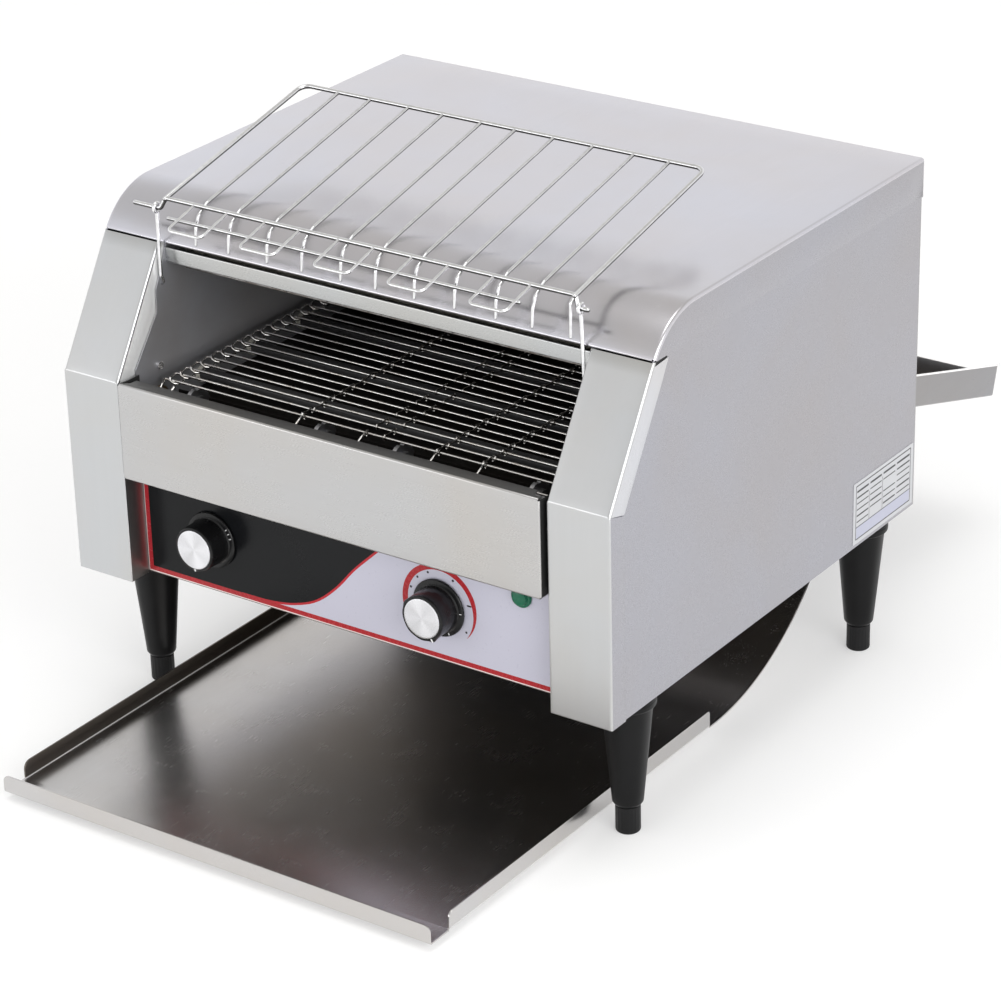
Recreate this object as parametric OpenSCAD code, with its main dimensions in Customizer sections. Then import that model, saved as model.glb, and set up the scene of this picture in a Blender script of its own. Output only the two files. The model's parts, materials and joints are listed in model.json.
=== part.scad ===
/* [Body] */
// Outer width of the body across the side panels (mm)
body_w = 468; // [460:1:480]
// Depth of the body from the column faces to the back edge of the hood (mm)
body_d = 418; // [410:1:430]
// Height of the body without its legs (mm)
body_h = 276.5; // [272:0.5:284]
// Width of each folded front column (mm)
column_w = 50; // [46:1:54]
// Thickness of the structural sheet (mm)
sheet_t = 1; // [0.8:0.1:1.2]
// Thickness of the column and trim sheet (mm)
trim_t = 0.8; // [0.6:0.1:1]

/* [Legs] */
// Height of the body above the counter (mm)
leg_h = 110.5; // [106:0.5:116]
// Distance of the leg axes from the centre plane (mm)
leg_x = 209.6; // [207:0.1:211]
// Distance of the front leg axes from the column faces (mm)
leg_front_y = 55.6; // [50:0.1:60]
// Distance of the rear leg axes from the column faces (mm)
leg_rear_y = 377.9; // [370:0.1:382]

/* [Conveyor] */
// Number of belt rods from one shaft to the next along the top
belt_rods = 24; // [22:1:24]
// Number of teeth on each belt wheel
wheel_teeth = 8; // [8:1:8]
// Radius of the belt's rod circle on its wheels (mm)
belt_r = 15; // [15:0.1:15.4]
// Half of the belt's width (mm)
belt_half = 178; // [170:1:179]
// Radius of the belt rods (mm)
rod_r = 1; // [0.9:0.05:1.1]

/* [Controls] */
// Distance of the mode knob from the centre plane (mm)
mode_x = -121.4; // [-130:0.1:-110]
// Distance of the speed knob from the centre plane (mm)
speed_x = 79.7; // [70:0.1:90]
// Height of the knob axes above the body's underside (mm)
knob_z = 43; // [40:0.5:46]
// Distance of the indicator from the centre plane (mm)
lamp_x = 149.2; // [140:0.1:155]
// Height of the indicator above the body's underside (mm)
lamp_z = 70; // [64:0.5:72]

/* [Tray, chute and rack] */
// Half of the toast tray's width (mm)
tray_half = 186.8; // [180:0.1:187]
// Radius of the curved back of the tray (mm)
tray_curve_r = 192; // [190:0.5:193]
// Half of the rear chute's width (mm)
chute_half = 187; // [180:0.5:188]
// Slope of the rear chute (degrees)
chute_slope = 16.7; // [15:0.1:18]
// Half of the loading rack's width (mm)
rack_half = 173.6; // [165:0.1:174]
// Length of the loading rack from its crossbar to its rear wire (mm)
rack_len = 165.4; // [150:0.1:170]
// Tilt of the loading rack at rest (degrees)
rack_tilt = 12.9; // [11:0.1:14]

/* [Hidden] */
$fn = 72;
hw = body_w / 2;
col_in = hw - column_w;              // inner faces of the columns
top_z = body_h;
// hood front: one arc, tangent to the top and to the column slope
arc_r = 59.3;
arc_y = 105.1;
arc_z = top_z - arc_r;
slope_a = 59;                        // slope of the columns from the horizontal
fold_z = 157.7;                      // fold between the upright and the sloping column face
slope_dy = 54;
slope_top = 247.3;
idler_y = 42.7;
shaft_z = 133;
pitch = 2 * PI * belt_r / wheel_teeth;
drive_y = idler_y + belt_rods * pitch;
floor_z = -leg_h;
wall_in = col_in - 1.4;              // inner faces of the cavity walls
chute_y = 416;                       // where the chute floor leaves the body
chute_z = 64.4;
tray_front_y = -148.1;
// distance of the origin behind the column faces: half way between the tray's lip and the chute's end
mid_y = (chute_y + 233.4 * cos(chute_slope) + 23 * sin(chute_slope) + tray_front_y) / 2;
pivot_y = 52;                        // rack pivot axis
pivot_z = 275;
hook_y = 54.6;                       // link hook axis
hook_z = 216.5;
motor_y = 255;
motor_z = 60;
motor_r = 12.27;                     // pitch radius of the 12-tooth sprocket
drive_r = 18.28;                     // pitch radius of the 18-tooth sprocket
bar_y = 54;                          // crossbar of the rack
bar_z = 282.6;

// ---------- helpers; y runs back from the column faces and z up from the body's underside ----------
module place() { translate([0, -mid_y, leg_h]) children(); }
module yz(x0, x1) { translate([x0, 0, 0]) rotate([90, 0, 90]) linear_extrude(x1 - x0) children(); }
module xz(y0, y1) { translate([0, y1, 0]) rotate([90, 0, 0]) linear_extrude(y1 - y0) children(); }
module box(a, b) { translate(a) cube(b - a); }
module xcyl(x0, x1, r, y, z) { translate([x0, y, z]) rotate([0, 90, 0]) cylinder(r = r, h = x1 - x0); }
module ycyl(y0, y1, r, x, z) { translate([x, y1, z]) rotate([90, 0, 0]) cylinder(r = r, h = y1 - y0); }
module both() { children(); mirror([1, 0, 0]) children(); }
module wire(a, b, r) {
    d = b - a;
    l = norm(d);
    translate(a) rotate([0, acos(d[2] / l), atan2(d[1], d[0])]) cylinder(r = r, h = l);
}
module turned(x, y, z) { translate([x, y, z]) rotate([90, 0, 0]) rotate_extrude($fn = 96) children(); }

// outline of the hood in a plane across x, shrunk by o
module hood_outline(o) {
    a0 = 180 - (90 - slope_a);
    intersection() {
        translate([arc_y, arc_z]) circle(r = arc_r - o, $fn = 144);
        polygon([[arc_y, arc_z], [arc_y, arc_z + 90], [arc_y - 90, arc_z + 90], [arc_y - 110, arc_z - 110 * tan(a0)]]);
    }
    polygon([[arc_y, arc_z], [arc_y, top_z - o], [body_d - o, top_z - o], [body_d - o, arc_z]]);
}
// outline of a side sheet, standing a little inside the covers
function side_outline(o, zb, yb, zt) = [[o, zb], [o, fold_z - o * 0.28], [slope_dy + o + 0.3, slope_top + 0.7],
    [slope_dy + 9, zt - 7], [slope_dy + 27, zt], [yb, zt], [yb, zb]];

// ---------- casing ----------
module side_panel() {
    difference() {
        yz(hw - 1 - sheet_t, hw - 1) polygon(side_outline(1.5, 0.3, body_d - 3.3, 262));
        // step over the bottom flange of the column cover
        box([hw - 3, 0, -1], [hw, 17.6, 1.2]);
    }
    box([leg_x - 24, 18.2, 0.3], [hw - 1, body_d - 3.3, 0.3 + sheet_t]);
}
module side_panel_cut() {
    difference() {
        side_panel();
        for (y = [leg_front_y, leg_rear_y]) translate([leg_x, y, -2]) cylinder(r = 4.3, h = 6);
    }
}
module side_panel_right() { color([0.75, 0.75, 0.77]) place() side_panel_cut(); }
module side_panel_left() { color([0.75, 0.75, 0.77]) place() mirror([1, 0, 0]) side_panel_cut(); }

module column_cover() {
    t = trim_t;
    // face: upright, then sloping back
    yz(col_in, hw) polygon([[0, 0], [0, fold_z], [slope_dy, slope_top], [slope_dy + t / sin(slope_a), slope_top],
        [t, fold_z - t * tan((90 - slope_a) / 2)], [t, 0]]);
    // inner return
    yz(col_in, col_in + t) polygon([[0, 0], [0, fold_z], [slope_dy - 0.2, slope_top - 0.3], [slope_dy + 7, slope_top - 0.3],
        [60, 244], [57.5, 232], [47.8, 213.5], [47.3, 196.5], [20, 161], [20, 0]]);
    // outer return of the upright part, with a mitred top
    yz(hw - t, hw) polygon([[0, 0], [0, fold_z], [17, 153.9], [17, 0]]);
    // outer return of the sloping part
    yz(hw - t, hw) polygon([[0, fold_z], [slope_dy, slope_top], [slope_dy + 18.7, slope_top], [17, 154.3], [16.6, 154.4]]);
    // bottom flange
    box([col_in, 0, 0], [hw, 17, t]);
}
module column_cover_right() { color([0.84, 0.84, 0.84]) place() column_cover(); }
module column_cover_left() { color([0.8, 0.81, 0.82]) place() mirror([1, 0, 0]) column_cover(); }

module hood() {
    color([0.85, 0.85, 0.88]) place() {
        // wrap-over sheet
        yz(-hw, hw) difference() {
            hood_outline(0);
            hood_outline(sheet_t);
            translate([arc_y - 2, arc_z - 10]) square([body_d - sheet_t - arc_y + 2, 12]);
            translate([arc_y, arc_z - 10]) square([body_d, 39.3]);
            translate([40, slope_top - 9.9]) square([40, 10]);
        }
        // side flanges
        both() yz(hw - sheet_t, hw) intersection() {
            hood_outline(0);
            translate([40, slope_top + 0.2]) square([body_d, 60]);
        }
    }
}
module front_plate() {
    w = col_in - 3;
    color([0.8, 0.8, 0.78]) place() {
        box([-w, -4, 85.4], [w, -3, 159.8]);
        box([-w, -4, 158.8], [w, 8, 159.8]);
        box([-w, -4, 85.4], [w, 19.8, 86.4]);
        both() box([w - 1, -4, 85.4], [w, 19.8, 159.8]);
    }
}
module control_panel() {
    color([0.6, 0.6, 0.62]) place() difference() {
        union() {
            box([-col_in - 16, 20.1, 2.5], [col_in + 16, 21.3, 128]);
            box([-col_in + 8, 20.1, 126.8], [col_in - 8, 25.5, 128]);
            box([-col_in + 8, 20.1, 2.5], [col_in - 8, 30, 3.7]);
        }
        for (x = [mode_x, speed_x]) ycyl(15, 30, 5, x, knob_z);
        ycyl(15, 30, 6.5, lamp_x, lamp_z);
    }
}
module panel_overlay() {
    color([0.1, 0.1, 0.11]) place() difference() {
        box([-col_in + 0.2, 19.8, 2], [col_in - 0.2, 20.1, 126]);
        for (x = [mode_x, speed_x]) ycyl(15, 30, 5, x, knob_z);
        ycyl(15, 30, 6.5, lamp_x, lamp_z);
    }
}
module header_panel() {
    w = wall_in;
    color([0.82, 0.82, 0.82]) place() {
        box([-w, 60, 230.3], [w, 60.8, 242.2]);
        box([-w, 60, 241.4], [w, 74, 242.2]);
        box([-w, 60, 230.3], [w, 70, 231.1]);
    }
}
module rear_panel() {
    y0 = body_d - 3.3;
    color([0.7, 0.7, 0.72]) place() difference() {
        box([-hw + 1, y0, 0.3], [hw - 1, y0 + 1, 270]);
        // discharge slot
        box([-184, y0 - 1, chute_z], [184, y0 + 2, 132]);
        // vents of the two side bays
        for (s = [-1, 1], z = [66:12:234])
            translate([s * 209, y0 + 2, z]) rotate([90, 0, 0]) linear_extrude(4) union() {
                square([24, 5], center = true);
                for (e = [-12, 12]) translate([e, 0]) circle(r = 2.5);
            }
        // cable gland hole
        ycyl(y0 - 2, y0 + 3, 8.1, -205, 40);
    }
}
module bottom_plate() {
    color([0.65, 0.65, 0.67]) place() difference() {
        box([-hw + 2, 20.1, 1.3], [hw - 2, body_d - 3.3, 2.5]);
        // way down for the toast
        box([-col_in - 3, 300, 0], [col_in + 3, 400, 4]);
        // fan intake
        translate([0, 150, 0]) cylinder(r = 36, h = 4);
        for (s = [-1, 1], y = [leg_front_y, leg_rear_y]) translate([s * leg_x, y, 0]) cylinder(r = 4.3, h = 4);
        for (x = [-160:20:160], y = [215, 235, 255]) if (abs(x) > 50) translate([x, y, 0]) cylinder(r = 3, h = 4);
    }
}
module rating_plate() {
    color([0.78, 0.78, 0.8]) place() box([hw - 1, 324, 3], [hw - 0.6, 413, 52.5]);
}
module cable_gland() {
    y0 = body_d - 3.3;
    color([0.08, 0.08, 0.08]) place() difference() {
        union() {
            ycyl(y0 - 12, y0 + 1, 8, -205, 40);
            ycyl(y0 + 1, y0 + 5, 12, -205, 40);
            ycyl(y0 + 5, y0 + 16, 9.5, -205, 40);
            ycyl(y0 - 6, y0, 11, -205, 40, $fn = 6);
        }
        ycyl(y0 - 20, y0 + 20, 4.5, -205, 40);
    }
}

// ---------- toasting tunnel ----------
upper_y = [80, 87.5, 150, 157.5, 220, 227.5, 290, 297.5];
lower_y = [90, 150, 210, 270];
upper_z = 228;
module cavity_wall(left) {
    x0 = wall_in;
    difference() {
        yz(x0, x0 + sheet_t) polygon([[22, 2.5], [22, 152], [19.4, 155], [19.4, 161], [46.5, 196.6], [47, 213.4],
            [56.6, 232], [60.6, 244], [62, 251.5], [body_d - 3.3, 251.5], [body_d - 3.3, 2.5]]);
        xcyl(x0 - 2, x0 + 3, 8, idler_y, shaft_z);
        xcyl(x0 - 2, x0 + 3, 8, drive_y, shaft_z);
        if (left) for (y = upper_y) xcyl(x0 - 2, x0 + 3, 3.4, y, upper_z);
        for (y = lower_y) xcyl(x0 - 2, x0 + 3, 6.1, y, shaft_z);
        xcyl(x0 - 2, x0 + 3, 1.58, hook_y, hook_z);
        xcyl(x0 - 2, x0 + 3, 1.7, 44.6, 156.2);
        // passage for wiring
        xcyl(x0 - 2, x0 + 3, 10, 90, 40);
    }
}
module cavity_wall_right() { color([0.45, 0.45, 0.46]) place() cavity_wall(false); }
module cavity_wall_left() { color([0.45, 0.45, 0.46]) place() mirror([1, 0, 0]) cavity_wall(true); }
module wall_screws() {
    color([0.8, 0.8, 0.8]) place() both() {
        xcyl(wall_in - 1.8, wall_in, 3, 44.6, 156.2);
        xcyl(wall_in - 0.5, wall_in + 6, 1.6, 44.6, 156.2);
    }
}
module insulation_board() { color([0.85, 0.82, 0.75]) place() box([-wall_in, 80, 242.5], [wall_in, 345, 251.5]); }
module upper_reflector() {
    color([0.5, 0.5, 0.5]) place() {
        box([-wall_in, 66, 240], [wall_in, 345, 241]);
        box([-wall_in, 344, 215], [wall_in, 345, 241]);
    }
}
module lower_reflector() {
    color([0.5, 0.5, 0.5]) place() {
        box([-wall_in, 64, 122.5], [wall_in, 304, 123.5]);
        box([-wall_in, 64, 122.5], [wall_in, 65, 130]);
        box([-wall_in, 303, 122.5], [wall_in, 304, 130]);
    }
}
module upper_elements() {
    color([0.2, 0.2, 0.21]) place()
        for (i = [0:2:6]) {
            for (j = [0, 1]) xcyl(-205, 176, 2.6, upper_y[i + j], upper_z);
            translate([176, (upper_y[i] + upper_y[i + 1]) / 2, upper_z]) rotate([0, 0, -90])
                rotate_extrude(angle = 180) translate([3.75, 0]) circle(r = 2.6);
        }
}
module lower_elements() {
    color([0.9, 0.9, 0.92]) place()
        for (y = lower_y) difference() {
            xcyl(-205, 205, 5, y, shaft_z);
            xcyl(-206, 206, 4, y, shaft_z);
        }
}
module element_holders() {
    color([0.9, 0.88, 0.82]) place() both() {
        for (y = lower_y) difference() {
            union() {
                xcyl(wall_in - 3, 196, 6, y, shaft_z);
                xcyl(wall_in + sheet_t, wall_in + sheet_t + 4, 9, y, shaft_z);
            }
            xcyl(wall_in - 4, 200, 5.05, y, shaft_z);
        }
    }
}
module element_guard() {
    color([0.55, 0.55, 0.55]) place() {
        for (y = [82, 122, 162, 202, 242, 282, 322]) xcyl(-wall_in, wall_in, 0.9, y, 219.5);
        for (i = [-4.5:1:4.5]) translate([i * 36, 322, 220.9]) rotate([90, 0, 0]) cylinder(r = 0.9, h = 242);
        for (i = [-4.5:1:4.5]) wire([i * 36, 80.4, 220.9], [i * 36, 75.8, 224.3], 0.9);
    }
}
module crumb_deck() {
    color([0.55, 0.55, 0.56]) place() {
        box([-wall_in, 27, 100], [wall_in, 345, 101]);
        box([-wall_in, 27, 93], [wall_in, 28, 101]);
        // baffle down to the bottom plate
        yz(-wall_in, wall_in) polygon([[345, 100], [345, 101], [343.9, 101], [297.5, 2.5], [298.6, 2.5]]);
    }
}
module return_ramp() {
    r = tray_curve_r;
    cy = 205;
    cz = -105 + r;
    color([0.6, 0.6, 0.61]) place() {
        yz(-wall_in + 1, wall_in - 1) intersection() {
            translate([cy, cz]) difference() { circle(r = r + 0.2, $fn = 144); circle(r = r - 1, $fn = 144); }
            translate([350, 2.5]) square([60, 46.5]);
        }
        box([-wall_in + 1, 392.5, 48], [wall_in - 1, body_d - 3.3, 49]);
    }
}

// ---------- conveyor ----------
module stadium(r) {
    translate([idler_y, shaft_z]) circle(r = r);
    translate([drive_y, shaft_z]) circle(r = r);
    translate([idler_y, shaft_z - r]) square([drive_y - idler_y, 2 * r]);
}
module conveyor_belt() {
    color([0.8, 0.8, 0.8]) place() {
        for (i = [0:belt_rods]) for (s = [-1, 1])
            xcyl(-belt_half, belt_half, rod_r, idler_y + i * pitch, shaft_z + s * belt_r, $fn = 32);
        for (k = [1:wheel_teeth / 2 - 1]) {
            a = k * 360 / wheel_teeth;
            xcyl(-belt_half, belt_half, rod_r, idler_y - belt_r * sin(a), shaft_z + belt_r * cos(a), $fn = 32);
            xcyl(-belt_half, belt_half, rod_r, drive_y + belt_r * sin(a), shaft_z + belt_r * cos(a), $fn = 32);
        }
        for (x = [-169, -54, 54, 169]) yz(x - 0.6, x + 0.6) difference() { stadium(belt_r + rod_r + 0.2); stadium(belt_r - rod_r - 0.2); }
    }
}
module belt_wheel() {
    difference() {
        // tips just under the rods, scallops below each rod
        circle(r = belt_r - rod_r - 0.35);
        for (i = [0:wheel_teeth - 1]) rotate(i * 360 / wheel_teeth) translate([0, belt_r]) circle(r = 2.9);
    }
}
module belt_shaft(y, x1) {
    xcyl(-190, x1, 5, y, shaft_z);
    for (x = [-148, -34, 34, 148]) {
        yz(x - 1.5, x + 1.5) translate([y, shaft_z]) belt_wheel();
        xcyl(x - 5, x + 5, 8, y, shaft_z);
    }
}
module idler_shaft() { color([0.6, 0.6, 0.62]) place() belt_shaft(idler_y, 190); }
module drive_shaft() { color([0.6, 0.6, 0.62]) place() belt_shaft(drive_y, 226); }
module shaft_bushes() {
    color([0.72, 0.55, 0.3]) place() both() for (y = [idler_y, drive_y]) difference() {
        union() {
            xcyl(wall_in - 2, wall_in + 5, 7.95, y, shaft_z);
            xcyl(wall_in + sheet_t, wall_in + sheet_t + 2, 10.5, y, shaft_z);
        }
        xcyl(wall_in - 3, wall_in + 6, 5.06, y, shaft_z);
    }
}
module sprocket(n, pr) {
    difference() {
        circle(r = pr + 1.9);
        for (i = [0:n - 1]) rotate(i * 360 / n) translate([pr, 0]) { circle(r = 1.75); translate([0, -1.75]) square([4, 3.5]); }
    }
}
module drive_sprocket() {
    color([0.4, 0.4, 0.42]) place() difference() {
        union() {
            yz(219.5, 222.5) translate([drive_y, shaft_z]) sprocket(18, drive_r);
            xcyl(214, 219.5, 10, drive_y, shaft_z);
        }
        xcyl(210, 230, 5.02, drive_y, shaft_z);
    }
}
module motor_sprocket() {
    color([0.4, 0.4, 0.42]) place() {
        yz(219.5, 222.5) translate([motor_y, motor_z]) sprocket(12, motor_r);
        xcyl(214, 219.5, 8, motor_y, motor_z);
        xcyl(202, 226, 4, motor_y, motor_z);
    }
}
// two circles of different radius joined by their outer tangents
chain_d = norm([drive_y - motor_y, shaft_z - motor_z]);
chain_a = atan2(shaft_z - motor_z, drive_y - motor_y);
function tangent_angle(r1, r2) = acos((r1 - r2) / chain_d);
module chain_loop(e) {
    r1 = motor_r + e;
    r2 = drive_r + e;
    b = tangent_angle(r1, r2);
    translate([motor_y, motor_z]) circle(r = r1);
    translate([drive_y, shaft_z]) circle(r = r2);
    polygon([for (s = [1, -1]) for (k = s > 0 ? [0, 1] : [1, 0])
        [(k == 0 ? motor_y : drive_y) + (k == 0 ? r1 : r2) * cos(chain_a + s * b),
         (k == 0 ? motor_z : shaft_z) + (k == 0 ? r1 : r2) * sin(chain_a + s * b)]]);
}
module drive_chain() {
    b = tangent_angle(motor_r, drive_r);
    color([0.35, 0.35, 0.36]) place() {
        for (x = [217.4, 223.4]) yz(x, x + 1.2) difference() { chain_loop(2.4); chain_loop(-2.4); }
        // rollers of the two straight runs
        for (s = [1, -1]) {
            p = [motor_y + motor_r * cos(chain_a + s * b), motor_z + motor_r * sin(chain_a + s * b)];
            q = [drive_y + drive_r * cos(chain_a + s * b), shaft_z + drive_r * sin(chain_a + s * b)];
            l = norm(q - p);
            for (d = [10:6.35:l - 15]) xcyl(218, 224, 1.1, p[0] + (q[0] - p[0]) * d / l, p[1] + (q[1] - p[1]) * d / l);
        }
    }
}
module gear_motor() {
    color([0.3, 0.3, 0.32]) place() difference() {
        union() {
            xcyl(wall_in + sheet_t + 2, 200, 30, motor_y, motor_z);
            xcyl(200, 208, 24, motor_y, motor_z);
            xcyl(208, 212, 9, motor_y, motor_z);
        }
        xcyl(201.5, 213, 4.06, motor_y, motor_z);
    }
}
module motor_bracket() {
    x0 = wall_in + sheet_t;
    color([0.6, 0.6, 0.62]) place() {
        yz(x0, x0 + 2) difference() {
            translate([motor_y - 38, motor_z - 38]) square([76, 76]);
            for (a = [-32, 32], b = [-32, 32]) translate([motor_y + a, motor_z + b]) circle(r = 2.2);
        }
        box([x0, motor_y - 38, motor_z - 38], [x0 + 26, motor_y + 38, motor_z - 36]);
    }
}
module fan_frame() {
    color([0.1, 0.1, 0.1]) place() translate([0, 150, 2.5]) {
        difference() {
            translate([-40, -40, 0]) cube([80, 80, 25]);
            translate([0, 0, -1]) cylinder(r = 37.5, h = 27);
            for (x = [-35, 35], y = [-35, 35]) translate([x, y, -1]) cylinder(r = 2.2, h = 27);
        }
        difference() {
            union() {
                cylinder(r = 14, h = 5);
                for (a = [45:90:315]) rotate(a) translate([12, -1.5, 0]) cube([26.5, 3, 4]);
            }
            translate([0, 0, 2.5]) cylinder(r = 2.06, h = 5);
        }
    }
}
module fan_rotor() {
    color([0.12, 0.12, 0.12]) place() translate([0, 150, 2.5]) {
        translate([0, 0, 6]) cylinder(r = 14, h = 17);
        translate([0, 0, 3]) cylinder(r = 2, h = 4);
        intersection() {
            for (i = [0:6]) rotate(i * 360 / 7) translate([0, -0.8, 14]) rotate([40, 0, 0]) translate([10, 0, -9]) cube([30, 1.6, 18]);
            translate([0, 0, 6]) cylinder(r = 36.5, h = 17);
        }
    }
}

// ---------- controls ----------
module knob(x) {
    turned(x, 19.6, knob_z) polygon([[3.05, 0.4], [3.05, 17], [0, 17], [0, 21.6], [15.5, 21.6], [17, 20.4], [17.3, 5], [18.6, 3.6], [21.5, 2.6], [21.5, 0.4]]);
}
module mode_knob() { color([0.08, 0.08, 0.08]) place() knob(mode_x); }
module speed_knob() { color([0.08, 0.08, 0.08]) place() knob(speed_x); }
module spindle(x) { ycyl(3.5, 40, 3, x, knob_z); }
module mode_spindle() { color([0.7, 0.7, 0.7]) place() spindle(mode_x); }
module speed_spindle() { color([0.7, 0.7, 0.7]) place() spindle(speed_x); }
module mode_switch() {
    color([0.2, 0.2, 0.22]) place() difference() {
        union() {
            box([mode_x - 20, 27, knob_z - 20], [mode_x + 20, 62, knob_z + 20]);
            ycyl(21.3, 27, 7, mode_x, knob_z);
            for (z = [-12, 0, 12], s = [-1, 1]) box([mode_x + s * 12 - 1, 62, knob_z + z - 3], [mode_x + s * 12 + 1, 70, knob_z + z + 3]);
        }
        ycyl(20, 41, 3.06, mode_x, knob_z);
    }
}
module speed_control() {
    color([0.2, 0.2, 0.22]) place() difference() {
        union() {
            ycyl(27, 48, 14, speed_x, knob_z);
            ycyl(21.3, 27, 7, speed_x, knob_z);
            box([speed_x - 26, 48, knob_z - 20], [speed_x + 26, 50, knob_z + 20]);
        }
        ycyl(20, 41, 3.06, speed_x, knob_z);
    }
}
module indicator_lens() { color([0.1, 0.6, 0.3]) place() turned(lamp_x, 19.8, lamp_z) polygon([[0, 0], [8, 0], [8, 1.6], [7, 2.4], [6.2, 2.4], [5.8, 4.6], [4, 5.6], [0, 6]]); }
module indicator_body() {
    color([0.1, 0.1, 0.1]) place() {
        ycyl(19.8, 38, 6.4, lamp_x, lamp_z);
        ycyl(21.4, 25, 9, lamp_x, lamp_z);
        for (s = [-1, 1]) box([lamp_x + s * 3 - 0.5, 38, lamp_z - 2], [lamp_x + s * 3 + 0.5, 46, lamp_z + 2]);
    }
}
module terminal_block() {
    color([0.85, 0.85, 0.82]) place() difference() {
        box([-218, 286, 2.5], [-194, 346, 24]);
        for (y = [298:12:340], s = [-212, -200]) translate([s, y, 12]) cylinder(r = 2.6, h = 20);
    }
}

// ---------- legs ----------
module leg(x, y) {
    translate([x, y, 0]) difference() {
        rotate_extrude($fn = 96) polygon([[0, 0.3], [19.6, 0.3], [20.6, -0.7], [20.6, -9], [19.6, -10.4], [18.1, -10.4], [11.2, -86.5], [9.2, -89.3], [0, -89.3]]);
        translate([0, 0, -18]) cylinder(r = 4.1, h = 20);
        translate([0, 0, -93]) cylinder(r = 4.06, h = 32);
    }
}
module foot(x, y) {
    translate([x, y, 0]) {
        rotate_extrude($fn = 96) polygon([[0, -89.7], [9, -89.7], [9, floor_z + 0.9], [8.1, floor_z], [0, floor_z]]);
        translate([0, 0, -90]) cylinder(r = 4, h = 26);
    }
}
module leg_front_left() { color([0.06, 0.06, 0.06]) place() leg(-leg_x, leg_front_y); }
module leg_front_right() { color([0.06, 0.06, 0.06]) place() leg(leg_x, leg_front_y); }
module leg_rear_left() { color([0.06, 0.06, 0.06]) place() leg(-leg_x, leg_rear_y); }
module leg_rear_right() { color([0.06, 0.06, 0.06]) place() leg(leg_x, leg_rear_y); }
module foot_front_left() { color([0.05, 0.05, 0.05]) place() foot(-leg_x, leg_front_y); }
module foot_front_right() { color([0.05, 0.05, 0.05]) place() foot(leg_x, leg_front_y); }
module foot_rear_left() { color([0.05, 0.05, 0.05]) place() foot(-leg_x, leg_rear_y); }
module foot_rear_right() { color([0.05, 0.05, 0.05]) place() foot(leg_x, leg_rear_y); }
module leg_studs() {
    color([0.65, 0.65, 0.67]) place() for (s = [-1, 1], y = [leg_front_y, leg_rear_y]) translate([s * leg_x, y, 0]) {
        translate([0, 0, -17]) cylinder(r = 4, h = 30);
        translate([0, 0, 2.5]) cylinder(r = 7.5, h = 6.5, $fn = 6);
    }
}

// ---------- tray ----------
module toast_tray() {
    w = tray_half;
    t = 1.2;
    zb = -105;
    zt = -90.8;
    y0 = tray_front_y;
    color([0.75, 0.75, 0.76]) place() {
        // floor
        box([-w, y0, zb], [w, 205, zb + t]);
        // front lip with round top corners
        xz(y0, y0 + t) union() {
            translate([-w, zb]) square([2 * w, zt - zb - 5]);
            translate([-w + 5, zb]) square([2 * w - 10, zt - zb]);
            for (s = [-1, 1]) translate([s * (w - 5), zt - 5]) circle(r = 5);
        }
        // side walls with round top corners
        both() yz(w - t, w) union() {
            translate([-126.6, zb]) square([200.2 + 126.6, zt - zb - 6]);
            translate([-120.6, zb]) square([200.2 + 126.6 - 8.5, zt - zb]);
            translate([-120.6, zt - 6]) circle(r = 6);
            translate([197.7, zt - 2.5]) circle(r = 2.5);
            translate([190, zt - 10]) square([10.2, 7.5]);
        }
        // curved back
        yz(-w, w) intersection() {
            translate([205, zb + tray_curve_r]) difference() { circle(r = tray_curve_r, $fn = 144); circle(r = tray_curve_r - t, $fn = 144); }
            translate([205, zb - 1]) square([200, 100]);
        }
    }
}
module tray_bumpers() {
    color([0.07, 0.07, 0.07]) place() for (x = [-150, 150], y = [-110, 180]) translate([x, y, floor_z]) cylinder(r = 8, h = -105 - floor_z);
}

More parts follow.
